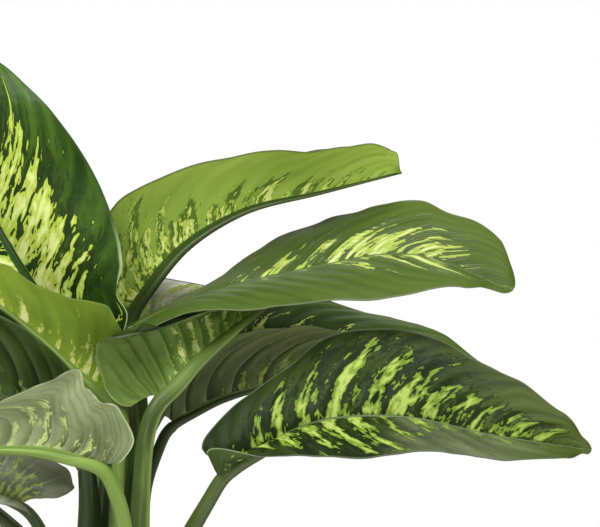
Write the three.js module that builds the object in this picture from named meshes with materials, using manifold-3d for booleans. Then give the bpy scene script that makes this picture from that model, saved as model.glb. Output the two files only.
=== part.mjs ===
// Potted dieffenbachia: a tapered pot of soil with three canes and their large leaves.
// Millimetres, +Z up. The origin is the middle of the pot's flat underside.
import * as THREE from 'three';
import { mergeVertices } from 'three/addons/utils/BufferGeometryUtils.js';
import Module from 'manifold-3d';

const wasm = await Module();
wasm.setup();

// Driving sizes
const POT_HEIGHT = 180;
const POT_FOOT_RADIUS = 68;
const POT_RIM_RADIUS = 98;
const POT_WALL = 7;
const POT_BAND_HEIGHT = 34;
const POT_BAND_PROUD = 5;
const POT_EDGE = 2;
const POT_CORNER = 4;
const POT_SIDES = 40;
const SOIL_TOP = 158;
const SOIL_RISE = 5;
const SOIL_RINGS = 4;
const CLEARANCE = 0.3;
const CANE_FOOT = 112;
const CANE_SIDES = 12;
const CANE_FIRST_RING = 12;
const CANE_RING_STEP = 22;
const CANE_RING_HALF = 3;
const CANE_RING_PROUD = 0.9;
const CANE_END_TAPER = 3;
const CANE_BARE_TOP = 8;
const HOLE_MARGIN = 0.5;

const BLADE_THICK = 1.3;
const BLADE_STEPS = 11;
const BLADE_FIRST = 0.02;
const BLADE_LAST = 0.985;
const STALK_STEPS = 5;
const STALK_ENDS_AT = 0.97;
const ACROSS = [0, 0.22, 0.42, 0.72, 1];
const MARGIN_STATIONS = [0.08, 0.33, 0.63, 0.9];
const BASE_ROUNDING = 0.38;
const TIP_TAPER = 0.7;
const OUTLINE_SCALE = 2.0145;
const REACH_FROM = 0.04;
const REACH_TO = 0.95;
const HALF_ARCH = 0.07;
const OPENS_UNDER = 24;
const LOOSE_OPENS_UNDER = 70;
const FOLD_LIMIT = 0.3;
const RIDGE_AT_FOOT = 1.25;
const RIDGE_AT_TIP = 0.6;
const TANGENT_STEP = 0.02;
const SLOPE_STEP = 0.004;

const COLOURS = {
  pot: { color: 0xb5714c, roughness: 0.85, metalness: 0 },
  soil: { color: 0x33261c, roughness: 1, metalness: 0 },
  cane: { color: 0x6e8146, roughness: 0.6, metalness: 0 },
  leaf: { color: 0x3d6a2c, roughness: 0.4, metalness: 0 },
  paleLeaf: { color: 0x7f9c4b, roughness: 0.4, metalness: 0 },
};

// Canes: foot and top of the axis (x, y), height of the top, radius
const CANES = {
  right: { foot: [30, -26], top: [25, -21], height: 288, radius: 12 },
  left: { foot: [-22, -14], top: [-14, -8], height: 288, radius: 12 },
  back: { foot: [6, 40], top: [9, 30], height: 288, radius: 11.5 },
};

// Leaves. cane and from: the cane and the height at which the stalk leaves its axis.
// stalk: points on the way up. rib: five points on the midrib, from the blade's foot to its tip.
// left and right: points of the margin abreast of MARGIN_STATIONS, seen along the midrib with the
// upper face up. A leaf without them has an even blade: half its width, the way its upper face
// looks, and how far its halves are raised, in degrees. firm: the half of a closely folded leaf
// that keeps to its points (1 left, -1 right), while the other opens where the blade is narrow.
const LEAVES = {
  leaf_tall: {
    cane: 'left', from: 268, thick: [5.5, 4.5], wave: [3, 2.2, 0.4],
    stalk: [[-2, 8, 300], [4, 12, 345], [-1, 6, 388]],
    rib: [[-18, 2, 445], [-62, 8, 506], [-99, 22, 574], [-128, 42, 648], [-150, 62, 726]],
    left: [[-69, 12, 454], [-145, 10, 501], [-179, 28, 592], [-172, 54, 686]],
    right: [[10, -14, 472], [6, -14, 539], [-49, 6, 624], [-119, 44, 685]],
  },
  leaf_curled: {
    cane: 'left', from: 262, thick: [5, 4.5], wave: [2, 1.4, 1], pale: true, firm: 1,
    stalk: [[7, -26, 299], [10, -30, 341], [11, -32, 372]],
    rib: [[15, -27, 403], [-14, -34, 427], [-39, -42, 451], [-69, -48, 475], [-110, -50, 496]],
    left: [[15, -22, 437], [2, -42, 477], [-39, -54, 487], [-81, -54, 512]],
    right: [[-2, -14, 429], [-29, -20, 467], [-57, -24, 482], [-96, -34, 501]],
  },
  leaf_upper: {
    cane: 'back', from: 270, thick: [6, 4.5], wave: [3, 2.4, 2], pale: true,
    stalk: [[10, 29, 300], [14, 26, 351], [13, 30, 408]],
    rib: [[13, 30, 464], [49, 30, 511], [96, 30, 541], [152, 32, 557], [209, 34, 574]],
    left: [[2, 56, 501], [52, 72, 557], [131, 66, 585], [188, 52, 584]],
    right: [[-6, 12, 517], [38, 6, 564], [125, 4, 585], [191, 18, 589]],
  },
  leaf_long: {
    cane: 'right', from: 262, thick: [5.5, 4.5], wave: [3.5, 2.6, 0],
    stalk: [[14, -6, 300], [17, -9, 354], [21, -9, 401]],
    rib: [[12, -12, 458], [71, 4, 484], [141, 12, 501], [214, 6, 511], [285, -18, 486]],
    left: [[31, 22, 463], [86, 44, 498], [165, 48, 539], [264, 22, 535]],
    right: [[37, -26, 461], [92, -38, 473], [171, -42, 479], [249, -40, 486]],
  },
  leaf_quilted: {
    cane: 'right', from: 276, thick: [7.5, 6], wave: [1.5, 1.6, 0], firm: -1,
    stalk: [[25, -22, 299], [26, -26, 341], [26, -28, 375]],
    rib: [[30, -25, 408], [55, -14, 439], [84, 8, 456], [110, 32, 474], [144, 66, 498]],
    left: [[24, 6, 448], [48, 46, 472], [78, 64, 486], [122, 80, 500]],
    right: [[1, -44, 416], [-3, -52, 449], [32, -36, 457], [109, 44, 490]],
  },
  leaf_behind: {
    cane: 'back', from: 258, thick: [6, 4.5], wave: [3, 2.4, 1],
    stalk: [[22, 39, 296], [24, 42, 351], [24, 50, 400]],
    rib: [[22, 58, 450], [82, 72, 454], [147, 80, 453], [216, 84, 439], [285, 80, 417]],
    left: [[34, 78, 496], [110, 112, 473], [200, 120, 465], [268, 100, 435]],
    right: [[37, 44, 434], [101, 62, 427], [172, 66, 421], [251, 66, 412]],
  },
  leaf_olive: {
    cane: 'right', from: 250, thick: [4.4, 4], wave: [1.5, 2, 0],
    stalk: [[27, 4, 296], [27, 10, 345], [36, 18, 371]],
    rib: [[44, 26, 390], [76, 28, 407], [114, 32, 418], [154, 40, 426], [197, 50, 429]],
    left: [[55, 40, 401], [88, 47, 430], [135, 50, 441], [177, 56, 438]],
    right: [[38, 10, 414], [75, 14, 450], [135, 14, 460], [181, 36, 449]],
  },
  leaf_broad: {
    cane: 'right', from: 236, thick: [6, 5], wave: [2, 2.2, 1],
    stalk: [[37, -27, 272], [61, -36, 319], [76, -42, 345]],
    rib: [[87, -46, 363], [143, -54, 395], [206, -62, 400], [267, -72, 388], [334, -84, 378]],
    left: [[72, -34, 394], [164, -26, 456], [248, -40, 443], [316, -66, 406]],
    right: [[93, -74, 378], [160, -100, 374], [237, -118, 377], [305, -110, 372]],
  },
  leaf_pale: {
    cane: 'right', from: 252, thick: [6, 5], wave: [2.5, 1.8, 0], pale: true, firm: 1,
    stalk: [[18, -40, 294], [16, -58, 329], [10, -76, 352]],
    rib: [[3, -88, 367], [-30, -96, 378], [-68, -102, 380], [-108, -106, 374], [-150, -106, 355]],
    left: [[23, -92, 389], [-13, -104, 434], [-76, -114, 411], [-130, -112, 388]],
    right: [[9, -80, 385], [-34, -78, 404], [-88, -82, 395], [-137, -92, 374]],
  },
  leaf_shaded: {
    cane: 'left', from: 250, thick: [5.5, 4.5], wave: [2, 2, 0],
    stalk: [[-15, -29, 290], [-11, -42, 331], [-11, -50, 362]],
    rib: [[-16, -54, 384], [-43, -57, 403], [-76, -60, 416], [-115, -62, 423], [-157, -62, 417]],
    left: [[-11, -56, 411], [-27, -62, 440], [-71, -72, 470], [-124, -70, 453]],
    right: [[-21, -42, 397], [-56, -36, 422], [-97, -38, 437], [-141, -48, 434]],
  },
  leaf_low: {
    cane: 'left', from: 232, thick: [5, 4], wave: [2, 2, 0],
    stalk: [[-28, -23, 271], [-36, -43, 307], [-40, -54, 320]],
    rib: [[-51, -58, 338], [-77, -66, 351], [-109, -74, 357], [-145, -80, 354], [-178, -84, 341]],
    left: [[-56, -88, 340], [-83, -108, 343], [-117, -116, 333], [-159, -104, 334]],
    right: [[-18, -38, 359], [-78, -34, 383], [-118, -42, 384], [-165, -64, 364]],
  },
  leaf_left: {
    cane: 'left', from: 240, thick: [6, 4.5], wave: [3, 2.2, 0],
    stalk: [[-37, -4, 286], [-60, -8, 318], [-118, -14, 362]],
    rib: [[-165, -16, 395], [-215, -18, 425], [-265, -20, 440], [-315, -24, 438], [-360, -30, 415]],
    halfWidth: 62, face: [0.1, -0.25, 1], raised: 18,
  },
  leaf_left_back: {
    cane: 'back', from: 255, thick: [6, 4.5], wave: [3, 2, 1],
    stalk: [[-7, 44, 300], [-5, 64, 360], [-20, 100, 420]],
    rib: [[-95, 125, 455], [-130, 150, 490], [-170, 172, 505], [-212, 192, 500], [-250, 210, 478]],
    halfWidth: 60, face: [0.1, -0.2, 1], raised: 16,
  },
  leaf_back_high: {
    cane: 'left', from: 276, thick: [5.5, 4], wave: [2, 2, 2],
    stalk: [[-13, -8, 302], [-6, -10, 324], [-12, -2, 362], [-26, 34, 434]],
    rib: [[-35, 75, 505], [-65, 92, 560], [-98, 115, 605], [-132, 142, 635], [-165, 172, 650]],
    halfWidth: 48, face: [0.5, -0.4, 0.8], raised: 22,
  },
  leaf_back_right: {
    cane: 'back', from: 240, thick: [6, 4.5], wave: [3, 2.4, 0],
    stalk: [[9, 56, 290], [16, 76, 350], [32, 102, 396]],
    rib: [[62, 130, 425], [85, 165, 445], [112, 205, 450], [140, 245, 440], [168, 285, 418]],
    halfWidth: 56, face: [0, -0.15, 1], raised: 14,
  },
  leaf_front_low: {
    cane: 'left', from: 214, thick: [5, 4], wave: [2, 2, 0],
    stalk: [[-34, -34, 252], [-55, -62, 280], [-78, -90, 294]],
    rib: [[-95, -110, 300], [-130, -150, 312], [-165, -190, 308], [-198, -228, 288], [-225, -262, 255]],
    halfWidth: 50, face: [0.1, 0.1, 1], raised: 15,
  },
  leaf_back_low: {
    cane: 'left', from: 204, thick: [5, 4], wave: [2, 2, 1],
    stalk: [[-44, 8, 244], [-80, 40, 282], [-118, 78, 318]],
    rib: [[-140, 104, 345], [-185, 130, 358], [-232, 154, 355], [-275, 174, 335], [-312, 190, 305]],
    halfWidth: 54, face: [0.1, -0.1, 1], raised: 15,
  },
  leaf_back: {
    cane: 'back', from: 212, thick: [5, 4], wave: [2, 2, 0],
    stalk: [[4, 66, 244], [0, 100, 262], [-6, 130, 268]],
    rib: [[-12, 150, 272], [-22, 195, 282], [-34, 240, 277], [-46, 282, 257], [-58, 320, 228]],
    halfWidth: 50, face: [0, -0.1, 1], raised: 8,
  },
  leaf_right_low: {
    cane: 'right', from: 206, thick: [5, 4], wave: [2, 2, 1],
    stalk: [[50, -12, 244], [80, 2, 266], [102, 12, 272]],
    rib: [[122, 20, 276], [168, 34, 286], [214, 46, 280], [256, 56, 260], [292, 64, 230]],
    halfWidth: 52, face: [0, -0.15, 1], raised: 12,
  },
};

// A smooth curve through points, evaluated at step x (0 is the first point, 1 the second)
function along(points, x) {
  const last = points.length - 1;
  const i = Math.min(Math.max(Math.floor(x), 0), last - 1);
  const t = x - i;
  const before = i > 0 ? points[i - 1] : points[0].clone().multiplyScalar(2).sub(points[1]);
  const after = i + 2 <= last
    ? points[i + 2]
    : points[last].clone().multiplyScalar(2).sub(points[last - 1]);
  const spline = (a, b, c, d) =>
    0.5 * (2 * b + (c - a) * t + (2 * a - 5 * b + 4 * c - d) * t * t + (3 * b - a - 3 * c + d) * t ** 3);
  return new THREE.Vector3(
    spline(before.x, points[i].x, points[i + 1].x, after.x),
    spline(before.y, points[i].y, points[i + 1].y, after.y),
    spline(before.z, points[i].z, points[i + 1].z, after.z),
  );
}

// Share of the half width at t: round at the foot, widest at a third, pointed at the tip
function outline(t) {
  return OUTLINE_SCALE * t ** BASE_ROUNDING * (1 - t) ** TIP_TAPER;
}

// The vector through four vectors given at MARGIN_STATIONS
function throughStations(vectors, t) {
  const x = Math.min(Math.max(t, REACH_FROM), REACH_TO);
  const sum = new THREE.Vector3();
  vectors.forEach((vector, i) => {
    let weight = 1;
    MARGIN_STATIONS.forEach((s, j) => {
      if (j !== i) weight *= (x - s) / (MARGIN_STATIONS[i] - s);
    });
    sum.addScaledVector(vector, weight);
  });
  return sum;
}

// The four full-width vectors of each half, from its margin points or from the even blade's sizes
function halfVectors(leaf, rib, side) {
  const given = side > 0 ? leaf.left : leaf.right;
  return MARGIN_STATIONS.map((t, i) => {
    const onRib = along(rib, t * (rib.length - 1));
    if (given) {
      return new THREE.Vector3(...given[i]).sub(onRib).divideScalar(outline(t));
    }
    const tangent = along(rib, t * (rib.length - 1) + TANGENT_STEP).sub(onRib).normalize();
    const face = new THREE.Vector3(...leaf.face).normalize();
    const sideways = face.clone().cross(tangent).normalize().multiplyScalar(side);
    const upwards = tangent.clone().cross(sideways).multiplyScalar(side).normalize();
    const lift = THREE.MathUtils.degToRad(leaf.raised);
    return sideways
      .multiplyScalar(leaf.halfWidth * Math.cos(lift))
      .addScaledVector(upwards, leaf.halfWidth * Math.sin(lift));
  });
}

// The direction of a vector once its part along the tangent is taken off
function squareOn(vector, tangent) {
  return vector.clone().addScaledVector(tangent, -vector.dot(tangent)).normalize();
}

// The rib at t with the reach of both halves. Where the blade is narrow its fold opens flat.
function section(leaf, rib, halves, t) {
  const onRib = along(rib, t * (rib.length - 1));
  const tangent = along(rib, t * (rib.length - 1) + TANGENT_STEP).sub(onRib).normalize();
  const left = throughStations(halves.left, t).multiplyScalar(outline(t));
  const right = throughStations(halves.right, t).multiplyScalar(outline(t));
  const level = squareOn(left, tangent).sub(squareOn(right, tangent)).normalize();
  const opened = (vector, side, other) => {
    if (leaf.firm === side) return vector;
    const width = vector.length();
    const fold = THREE.MathUtils.smoothstep(width, 0, leaf.firm ? LOOSE_OPENS_UNDER : OPENS_UNDER);
    const flat = leaf.firm ? squareOn(other, tangent).negate() : level.clone().multiplyScalar(side);
    return flat.lerp(vector.clone().normalize(), fold).setLength(width);
  };
  const reach = { left: opened(left, 1, right), right: opened(right, -1, left) };
  const leftward = squareOn(reach.left, tangent);
  const rightward = squareOn(reach.right, tangent);
  const upper = tangent.clone().cross(leftward.clone().sub(rightward)).normalize();
  const foldsUp = leftward.dot(upper) + rightward.dot(upper) > 0;
  const halfFold = Math.sqrt((1 - leftward.dot(rightward)) / 2);
  const mitre = foldsUp ? 1 / Math.max(halfFold, FOLD_LIMIT) : 1;
  return { onRib, tangent, reach, upper, mitre };
}

// A point of the blade's middle surface: t from foot to tip, across from -1 (right) to 1 (left)
function bladePoint(leaf, rib, halves, t, across) {
  const { onRib, tangent, reach } = section(leaf, rib, halves, t);
  const side = across < 0 ? -1 : 1;
  const a = Math.abs(across);
  const out = side > 0 ? reach.left : reach.right;
  const backward = tangent.clone().multiplyScalar(out.dot(tangent));
  const sideways = out.clone().sub(backward);
  const upper = tangent.clone().cross(sideways).multiplyScalar(side).normalize();
  const [height, count, start] = leaf.wave;
  const ripple = height * a * a * Math.sin(Math.PI * t) * Math.sin(2 * Math.PI * count * t + start + side);
  const arch = HALF_ARCH * out.length() * 4 * a * (1 - a);
  return onRib.addScaledVector(sideways, a).addScaledVector(backward, a * a)
    .addScaledVector(upper, arch + ripple);
}

// Rings are lists of points of equal length. Two caps close the tube that they make.
function skin(rings) {
  const count = rings[0].length;
  const half = count / 2;
  const faces = [];
  for (let k = 0; k + 1 < rings.length; k += 1) {
    for (let i = 0; i < count; i += 1) {
      const j = (i + 1) % count;
      const a = k * count + i;
      const b = k * count + j;
      const c = a + count;
      const d = b + count;
      // the lower face mirrors the upper one's split
      if (i < half) faces.push(a, b, d, a, d, c);
      else faces.push(a, b, c, b, d, c);
    }
  }
  const last = (rings.length - 1) * count;
  for (let i = 0; i + 1 < half; i += 1) {
    const mirror = count - 1 - i;
    faces.push(i, mirror, i + 1, i + 1, mirror, mirror - 1);
    faces.push(last + i, last + i + 1, last + mirror, last + i + 1, last + mirror - 1, last + mirror);
  }
  const geometry = new THREE.BufferGeometry();
  const flat = rings.flat().flatMap((p) => [p.x, p.y, p.z]);
  geometry.setAttribute('position', new THREE.Float32BufferAttribute(flat, 3));
  geometry.setIndex(faces);
  return geometry;
}

// One leaf: a round stalk that widens into a thin blade with a ridge under its midrib
function leafGeometry(leaf) {
  const cane = CANES[leaf.cane];
  const start = caneAxis(cane, leaf.from);
  const stalk = [start, ...leaf.stalk.map((p) => new THREE.Vector3(...p))];
  const rib = leaf.rib.map((p) => new THREE.Vector3(...p));
  const spine = [...stalk, ...rib];
  const halves = { left: halfVectors(leaf, rib, 1), right: halfVectors(leaf, rib, -1) };
  const columns = [...ACROSS.slice(1).reverse(), ...ACROSS.map((a) => -a)];
  const { upper: footUpper, tangent: footTangent } = section(leaf, rib, halves, BLADE_FIRST / 2);
  const footReach = footUpper.clone().cross(footTangent).normalize();
  const [thickFoot, thickTop] = leaf.thick;
  const rings = [];

  for (let k = 0; k <= STALK_STEPS; k += 1) {
    const x = (stalk.length * k * (k === STALK_STEPS ? STALK_ENDS_AT : 1)) / STALK_STEPS;
    const centre = along(spine, x);
    const tangent = along(spine, x + TANGENT_STEP).sub(along(spine, x - TANGENT_STEP)).normalize();
    const upper = tangent.clone().cross(footReach).normalize();
    const sideways = upper.clone().cross(tangent).normalize();
    const radius = THREE.MathUtils.lerp(thickFoot, thickTop, k / STALK_STEPS);
    const ring = [];
    const corners = columns.length * 2;
    for (let i = 0; i < corners; i += 1) {
      const angle = Math.PI - ((i + 0.5) * 2 * Math.PI) / corners;
      ring.push(centre.clone()
        .addScaledVector(sideways, -radius * Math.cos(angle))
        .addScaledVector(upper, radius * Math.sin(angle)));
    }
    rings.push(ring);
  }

  for (let k = 0; k <= BLADE_STEPS; k += 1) {
    const even = k / BLADE_STEPS;
    const eased = (even + (1 - Math.cos(Math.PI * even)) / 2) / 2;
    const t = THREE.MathUtils.lerp(BLADE_FIRST, BLADE_LAST, eased);
    const ridge = THREE.MathUtils.lerp(RIDGE_AT_FOOT * thickTop, RIDGE_AT_TIP, t);
    const { onRib, upper, mitre } = section(leaf, rib, halves, t);
    const top = [];
    const under = [];
    for (const across of columns) {
      if (across === 0) {
        top.push(onRib.clone().addScaledVector(upper, (mitre * BLADE_THICK) / 2));
        under.push(onRib.clone().addScaledVector(upper, -BLADE_THICK / 2 - ridge));
        continue;
      }
      const point = bladePoint(leaf, rib, halves, t, across);
      const ahead = bladePoint(leaf, rib, halves, t + SLOPE_STEP, across);
      const back = bladePoint(leaf, rib, halves, t - SLOPE_STEP, across);
      const leftward = bladePoint(leaf, rib, halves, t, Math.min(across + TANGENT_STEP, 1));
      const rightward = bladePoint(leaf, rib, halves, t, Math.max(across - TANGENT_STEP, -1));
      const normal = ahead.sub(back).cross(leftward.sub(rightward)).normalize();
      top.push(point.clone().addScaledVector(normal, BLADE_THICK / 2));
      under.push(point.clone().addScaledVector(normal, -BLADE_THICK / 2));
    }
    rings.push([...top, ...under.reverse()]);
  }
  return skin(rings);
}

function caneAxis(cane, height) {
  const share = (height - CANE_FOOT) / (cane.height - CANE_FOOT);
  return new THREE.Vector3(
    THREE.MathUtils.lerp(cane.foot[0], cane.top[0], share),
    THREE.MathUtils.lerp(cane.foot[1], cane.top[1], share),
    height,
  );
}

// A cane: a round stem with a raised ring at each old leaf scar. grow makes it larger all round.
function caneGeometry(cane, grow) {
  const rings = [];
  const addRing = (height, radius) => {
    const centre = caneAxis(cane, height);
    const ring = [];
    for (let i = 0; i < CANE_SIDES; i += 1) {
      const angle = Math.PI - ((i + 0.5) * 2 * Math.PI) / CANE_SIDES;
      ring.push(new THREE.Vector3(
        centre.x + radius * Math.cos(angle), centre.y - radius * Math.sin(angle), centre.z));
    }
    rings.push(ring);
  };
  addRing(CANE_FOOT - grow, cane.radius - CANE_END_TAPER + grow);
  const firstRing = SOIL_TOP + CANE_FIRST_RING;
  for (let height = firstRing; height < cane.height - CANE_BARE_TOP; height += CANE_RING_STEP) {
    addRing(height - CANE_RING_HALF, cane.radius + grow);
    addRing(height, cane.radius + CANE_RING_PROUD + grow);
    addRing(height + CANE_RING_HALF, cane.radius + grow);
  }
  addRing(cane.height - CANE_END_TAPER + grow, cane.radius + grow);
  addRing(cane.height + grow, cane.radius - CANE_END_TAPER + grow);
  return skin(rings);
}

function toSolid(geometry) {
  const bare = new THREE.BufferGeometry();
  bare.setAttribute('position', geometry.getAttribute('position'));
  bare.setIndex(geometry.getIndex());
  const merged = mergeVertices(bare, 1e-4);
  return new wasm.Manifold(new wasm.Mesh({
    numProp: 3,
    vertProperties: new Float32Array(merged.getAttribute('position').array),
    triVerts: new Uint32Array(merged.getIndex().array),
  }));
}

function fromSolid(solid) {
  const mesh = solid.getMesh();
  const geometry = new THREE.BufferGeometry();
  geometry.setAttribute('position', new THREE.BufferAttribute(new Float32Array(mesh.vertProperties), 3));
  geometry.setIndex(new THREE.BufferAttribute(new Uint32Array(mesh.triVerts), 1));
  return geometry;
}

function lathe(profile) {
  const geometry = new THREE.LatheGeometry(profile.map(([r, z]) => new THREE.Vector2(r, z)), POT_SIDES);
  geometry.rotateX(Math.PI / 2);
  return geometry;
}

function potGeometry() {
  const bandFoot = POT_HEIGHT - POT_BAND_HEIGHT;
  const bandRadius = innerRadius(bandFoot) + POT_WALL;
  return lathe([
    [0, 0], [POT_FOOT_RADIUS - POT_EDGE, 0], [POT_FOOT_RADIUS, POT_EDGE],
    [bandRadius, bandFoot], [bandRadius + POT_BAND_PROUD, bandFoot + POT_EDGE],
    [POT_RIM_RADIUS + POT_EDGE, POT_HEIGHT - POT_EDGE], [POT_RIM_RADIUS, POT_HEIGHT],
    [innerRadius(POT_HEIGHT) + POT_EDGE, POT_HEIGHT], [innerRadius(POT_HEIGHT), POT_HEIGHT - POT_EDGE],
    [innerRadius(POT_WALL + POT_CORNER), POT_WALL + POT_CORNER],
    [innerRadius(POT_WALL) - POT_CORNER, POT_WALL], [0, POT_WALL],
  ]);
}

// Radius of the pot's inside at a height
function innerRadius(height) {
  const atRim = POT_RIM_RADIUS - POT_WALL - POT_EDGE;
  const atFoot = POT_FOOT_RADIUS - POT_WALL;
  return THREE.MathUtils.lerp(atFoot, atRim, height / POT_HEIGHT);
}

function soilGeometry() {
  const bottom = POT_WALL + CLEARANCE;
  const corner = POT_WALL + POT_CORNER;
  const profile = [
    [0, bottom], [innerRadius(POT_WALL) - POT_CORNER - CLEARANCE, bottom],
    [innerRadius(corner) - CLEARANCE, corner + CLEARANCE],
    [innerRadius(SOIL_TOP) - CLEARANCE, SOIL_TOP],
  ];
  for (let ring = SOIL_RINGS - 1; ring >= 0; ring -= 1) {
    const share = ring / SOIL_RINGS;
    const radius = (innerRadius(SOIL_TOP) - CLEARANCE) * share;
    profile.push([radius, SOIL_TOP + SOIL_RISE * Math.cos((Math.PI / 2) * share)]);
  }
  let soil = toSolid(lathe(profile));
  for (const cane of Object.values(CANES)) {
    soil = soil.subtract(toSolid(caneGeometry(cane, HOLE_MARGIN)));
  }
  return fromSolid(soil);
}

const plant = new THREE.Group();

function addMesh(name, geometry, look) {
  const mesh = new THREE.Mesh(geometry, new THREE.MeshStandardMaterial(look));
  mesh.name = name;
  plant.add(mesh);
}

addMesh('pot', potGeometry(), COLOURS.pot);
addMesh('soil', soilGeometry(), COLOURS.soil);
for (const [name, cane] of Object.entries(CANES)) {
  addMesh(`cane_${name}`, caneGeometry(cane, 0), COLOURS.cane);
}
for (const [name, leaf] of Object.entries(LEAVES)) {
  const room = toSolid(caneGeometry(CANES[leaf.cane], CLEARANCE));
  const solid = toSolid(leafGeometry(leaf)).subtract(room);
  addMesh(name, fromSolid(solid), leaf.pale ? COLOURS.paleLeaf : COLOURS.leaf);
}

export default plant;
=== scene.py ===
import math
import random

import bmesh
import bpy
from mathutils import Euler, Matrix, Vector, noise


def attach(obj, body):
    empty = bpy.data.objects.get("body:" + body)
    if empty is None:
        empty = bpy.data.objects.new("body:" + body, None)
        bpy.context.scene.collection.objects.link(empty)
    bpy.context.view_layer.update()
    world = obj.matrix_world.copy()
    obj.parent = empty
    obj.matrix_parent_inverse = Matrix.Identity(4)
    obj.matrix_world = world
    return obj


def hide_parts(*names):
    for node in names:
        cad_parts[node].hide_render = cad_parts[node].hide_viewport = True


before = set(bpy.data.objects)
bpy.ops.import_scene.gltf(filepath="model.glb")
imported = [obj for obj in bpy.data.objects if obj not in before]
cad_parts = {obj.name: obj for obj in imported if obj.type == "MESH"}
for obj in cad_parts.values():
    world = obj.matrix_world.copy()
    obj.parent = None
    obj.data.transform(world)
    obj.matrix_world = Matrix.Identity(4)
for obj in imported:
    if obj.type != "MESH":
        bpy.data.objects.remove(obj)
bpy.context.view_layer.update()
mm = 0.001  # shapes are worked out in mm, meshes hold metres
print("frame loaded:", len(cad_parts), "nodes")

photo = {
    "eye": (0.1365, -2.5, 0.50445),  # camera height and side offset that the photograph's view gives
    "widthAtAxis": 0.42,  # what the frame's width spans at the plant's axis
    "sensor": 36,
}
cameraData = bpy.data.cameras.new("photoCamera")
cameraData.sensor_width = photo["sensor"]
cameraData.lens = photo["sensor"] * -photo["eye"][1] / photo["widthAtAxis"]
cameraData.clip_end = 50
camera = bpy.data.objects.new("photoCamera", cameraData)
camera.location = photo["eye"]
camera.rotation_euler = (math.radians(90), 0, 0)
bpy.context.scene.collection.objects.link(camera)
bpy.context.scene.camera = camera

studio = {
    "backdrop": (1, 1, 1, 1),  # what the camera sees behind the plant
    "roomLight": (1, 0.97, 0.8, 1),
    "roomStrength": 0.42,
    "floorSize": 1.7,
    "floorColour": (0.86, 0.86, 0.85, 1),
    "floorRough": 0.7,
    # name: place, aims at, size, watts
    "lamps": {
        "keyLamp": ((-1.3, -2.1, 2.5), (0, 0, 0.45), 1.2, 85),
        "skyLamp": ((0.4, -0.7, 2.9), (0.1, 0, 0.4), 1.5, 62),
        "fillLamp": ((2.4, -2.4, 1.2), (0.1, 0, 0.4), 1.6, 20),
        "sheenLamp": ((0.2, 1.9, 2.0), (0.1, 0, 0.4), 1.4, 8),
    },
}


def makeStudio():
    scene = bpy.context.scene
    scene.view_settings.view_transform = "Standard"
    world = bpy.data.worlds.new("studioWorld")
    scene.world = world
    world.use_nodes = True
    tree = world.node_tree
    room = tree.nodes["Background"]
    room.inputs["Color"].default_value = studio["roomLight"]
    room.inputs["Strength"].default_value = studio["roomStrength"]
    backdrop = node(tree, "ShaderNodeBackground")
    backdrop.inputs["Color"].default_value = studio["backdrop"]
    either = node(tree, "ShaderNodeMixShader")
    tree.links.new(node(tree, "ShaderNodeLightPath").outputs["Is Camera Ray"], either.inputs[0])
    tree.links.new(room.outputs[0], either.inputs[1])
    tree.links.new(backdrop.outputs[0], either.inputs[2])
    tree.links.new(either.outputs[0], tree.nodes["World Output"].inputs["Surface"])
    for name, (place, aim, size, watts) in studio["lamps"].items():
        data = bpy.data.lights.new(name, "AREA")
        data.shape = "DISK"
        data.size = size
        data.energy = watts
        lamp = bpy.data.objects.new(name, data)
        lamp.location = place
        lamp.rotation_euler = (Vector(aim) - Vector(place)).to_track_quat("-Z", "Y").to_euler()
        scene.collection.objects.link(lamp)
    bm = bmesh.new()
    bmesh.ops.create_circle(bm, cap_ends=True, segments=96, radius=studio["floorSize"])
    paint = plainMaterial("floorPaint", studio["floorColour"], studio["floorRough"])
    floor = addPiece("studioFloor", bm, [paint], rides=False)


def addPiece(name, bm, finishesOfPiece, rides=True, smoothShaded=True):
    for face in bm.faces:
        face.smooth = smoothShaded
    mesh = bpy.data.meshes.new(name)
    bm.to_mesh(mesh)
    bm.free()
    for material in finishesOfPiece:
        mesh.materials.append(material)
    piece = bpy.data.objects.new(name, mesh)
    bpy.context.scene.collection.objects.link(piece)
    if rides:
        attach(piece, "root")
    return piece


def sharpenRims(bm, limit=0.9):
    # edges that turn by more than the limit, in radians, stay sharp
    for edge in bm.edges:
        if len(edge.link_faces) == 2 and edge.calc_face_angle(0) > limit:
            edge.smooth = False


def closeEnds(bm):
    ends = [edge for edge in bm.edges if len(edge.link_faces) == 1]
    bmesh.ops.holes_fill(bm, edges=ends, sides=0)
    bmesh.ops.recalc_face_normals(bm, faces=bm.faces)
    sharpenRims(bm)


def addTube(bm, sides, rows, place, slot=0):
    # a grid rolled into a tube; place gives the point and the attributes for a row and a turn
    layers = bm.verts.layers.float_vector
    verts = bmesh.ops.create_grid(bm, x_segments=sides, y_segments=rows, size=1)["verts"]
    for vert in verts:
        row = round((vert.co.y + 1) / 2 * rows)
        turn = round((vert.co.x + 1) / 2 * sides) % sides / sides
        point, values = place(row, turn)
        vert.co = point * mm
        for label, value in values.items():
            vert[layers[label]] = value
    for face in {face for vert in verts for face in vert.link_faces}:
        face.material_index = slot
    bmesh.ops.remove_doubles(bm, verts=verts, dist=1e-7)


# Helpers for node trees. maths, ranged, mixed, grain and joined give one socket, attribute gives three
def node(tree, kind, **settings):
    made = tree.nodes.new(kind)
    for key, value in settings.items():
        setattr(made, key, value)
    return made


def feed(tree, socket, value):
    if isinstance(value, bpy.types.NodeSocket):
        tree.links.new(value, socket)
    else:
        socket.default_value = value


def maths(tree, operation, a, b=0.0, c=0.0, clamp=False):
    made = node(tree, "ShaderNodeMath", operation=operation, use_clamp=clamp)
    for socket, value in zip(made.inputs, (a, b, c)):
        feed(tree, socket, value)
    return made.outputs[0]


def ranged(tree, value, low, high, start=0.0, end=1.0):
    made = node(tree, "ShaderNodeMapRange", interpolation_type="SMOOTHSTEP")
    for socket, given in zip(made.inputs, (value, low, high, start, end)):
        feed(tree, socket, given)
    return made.outputs[0]


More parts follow.
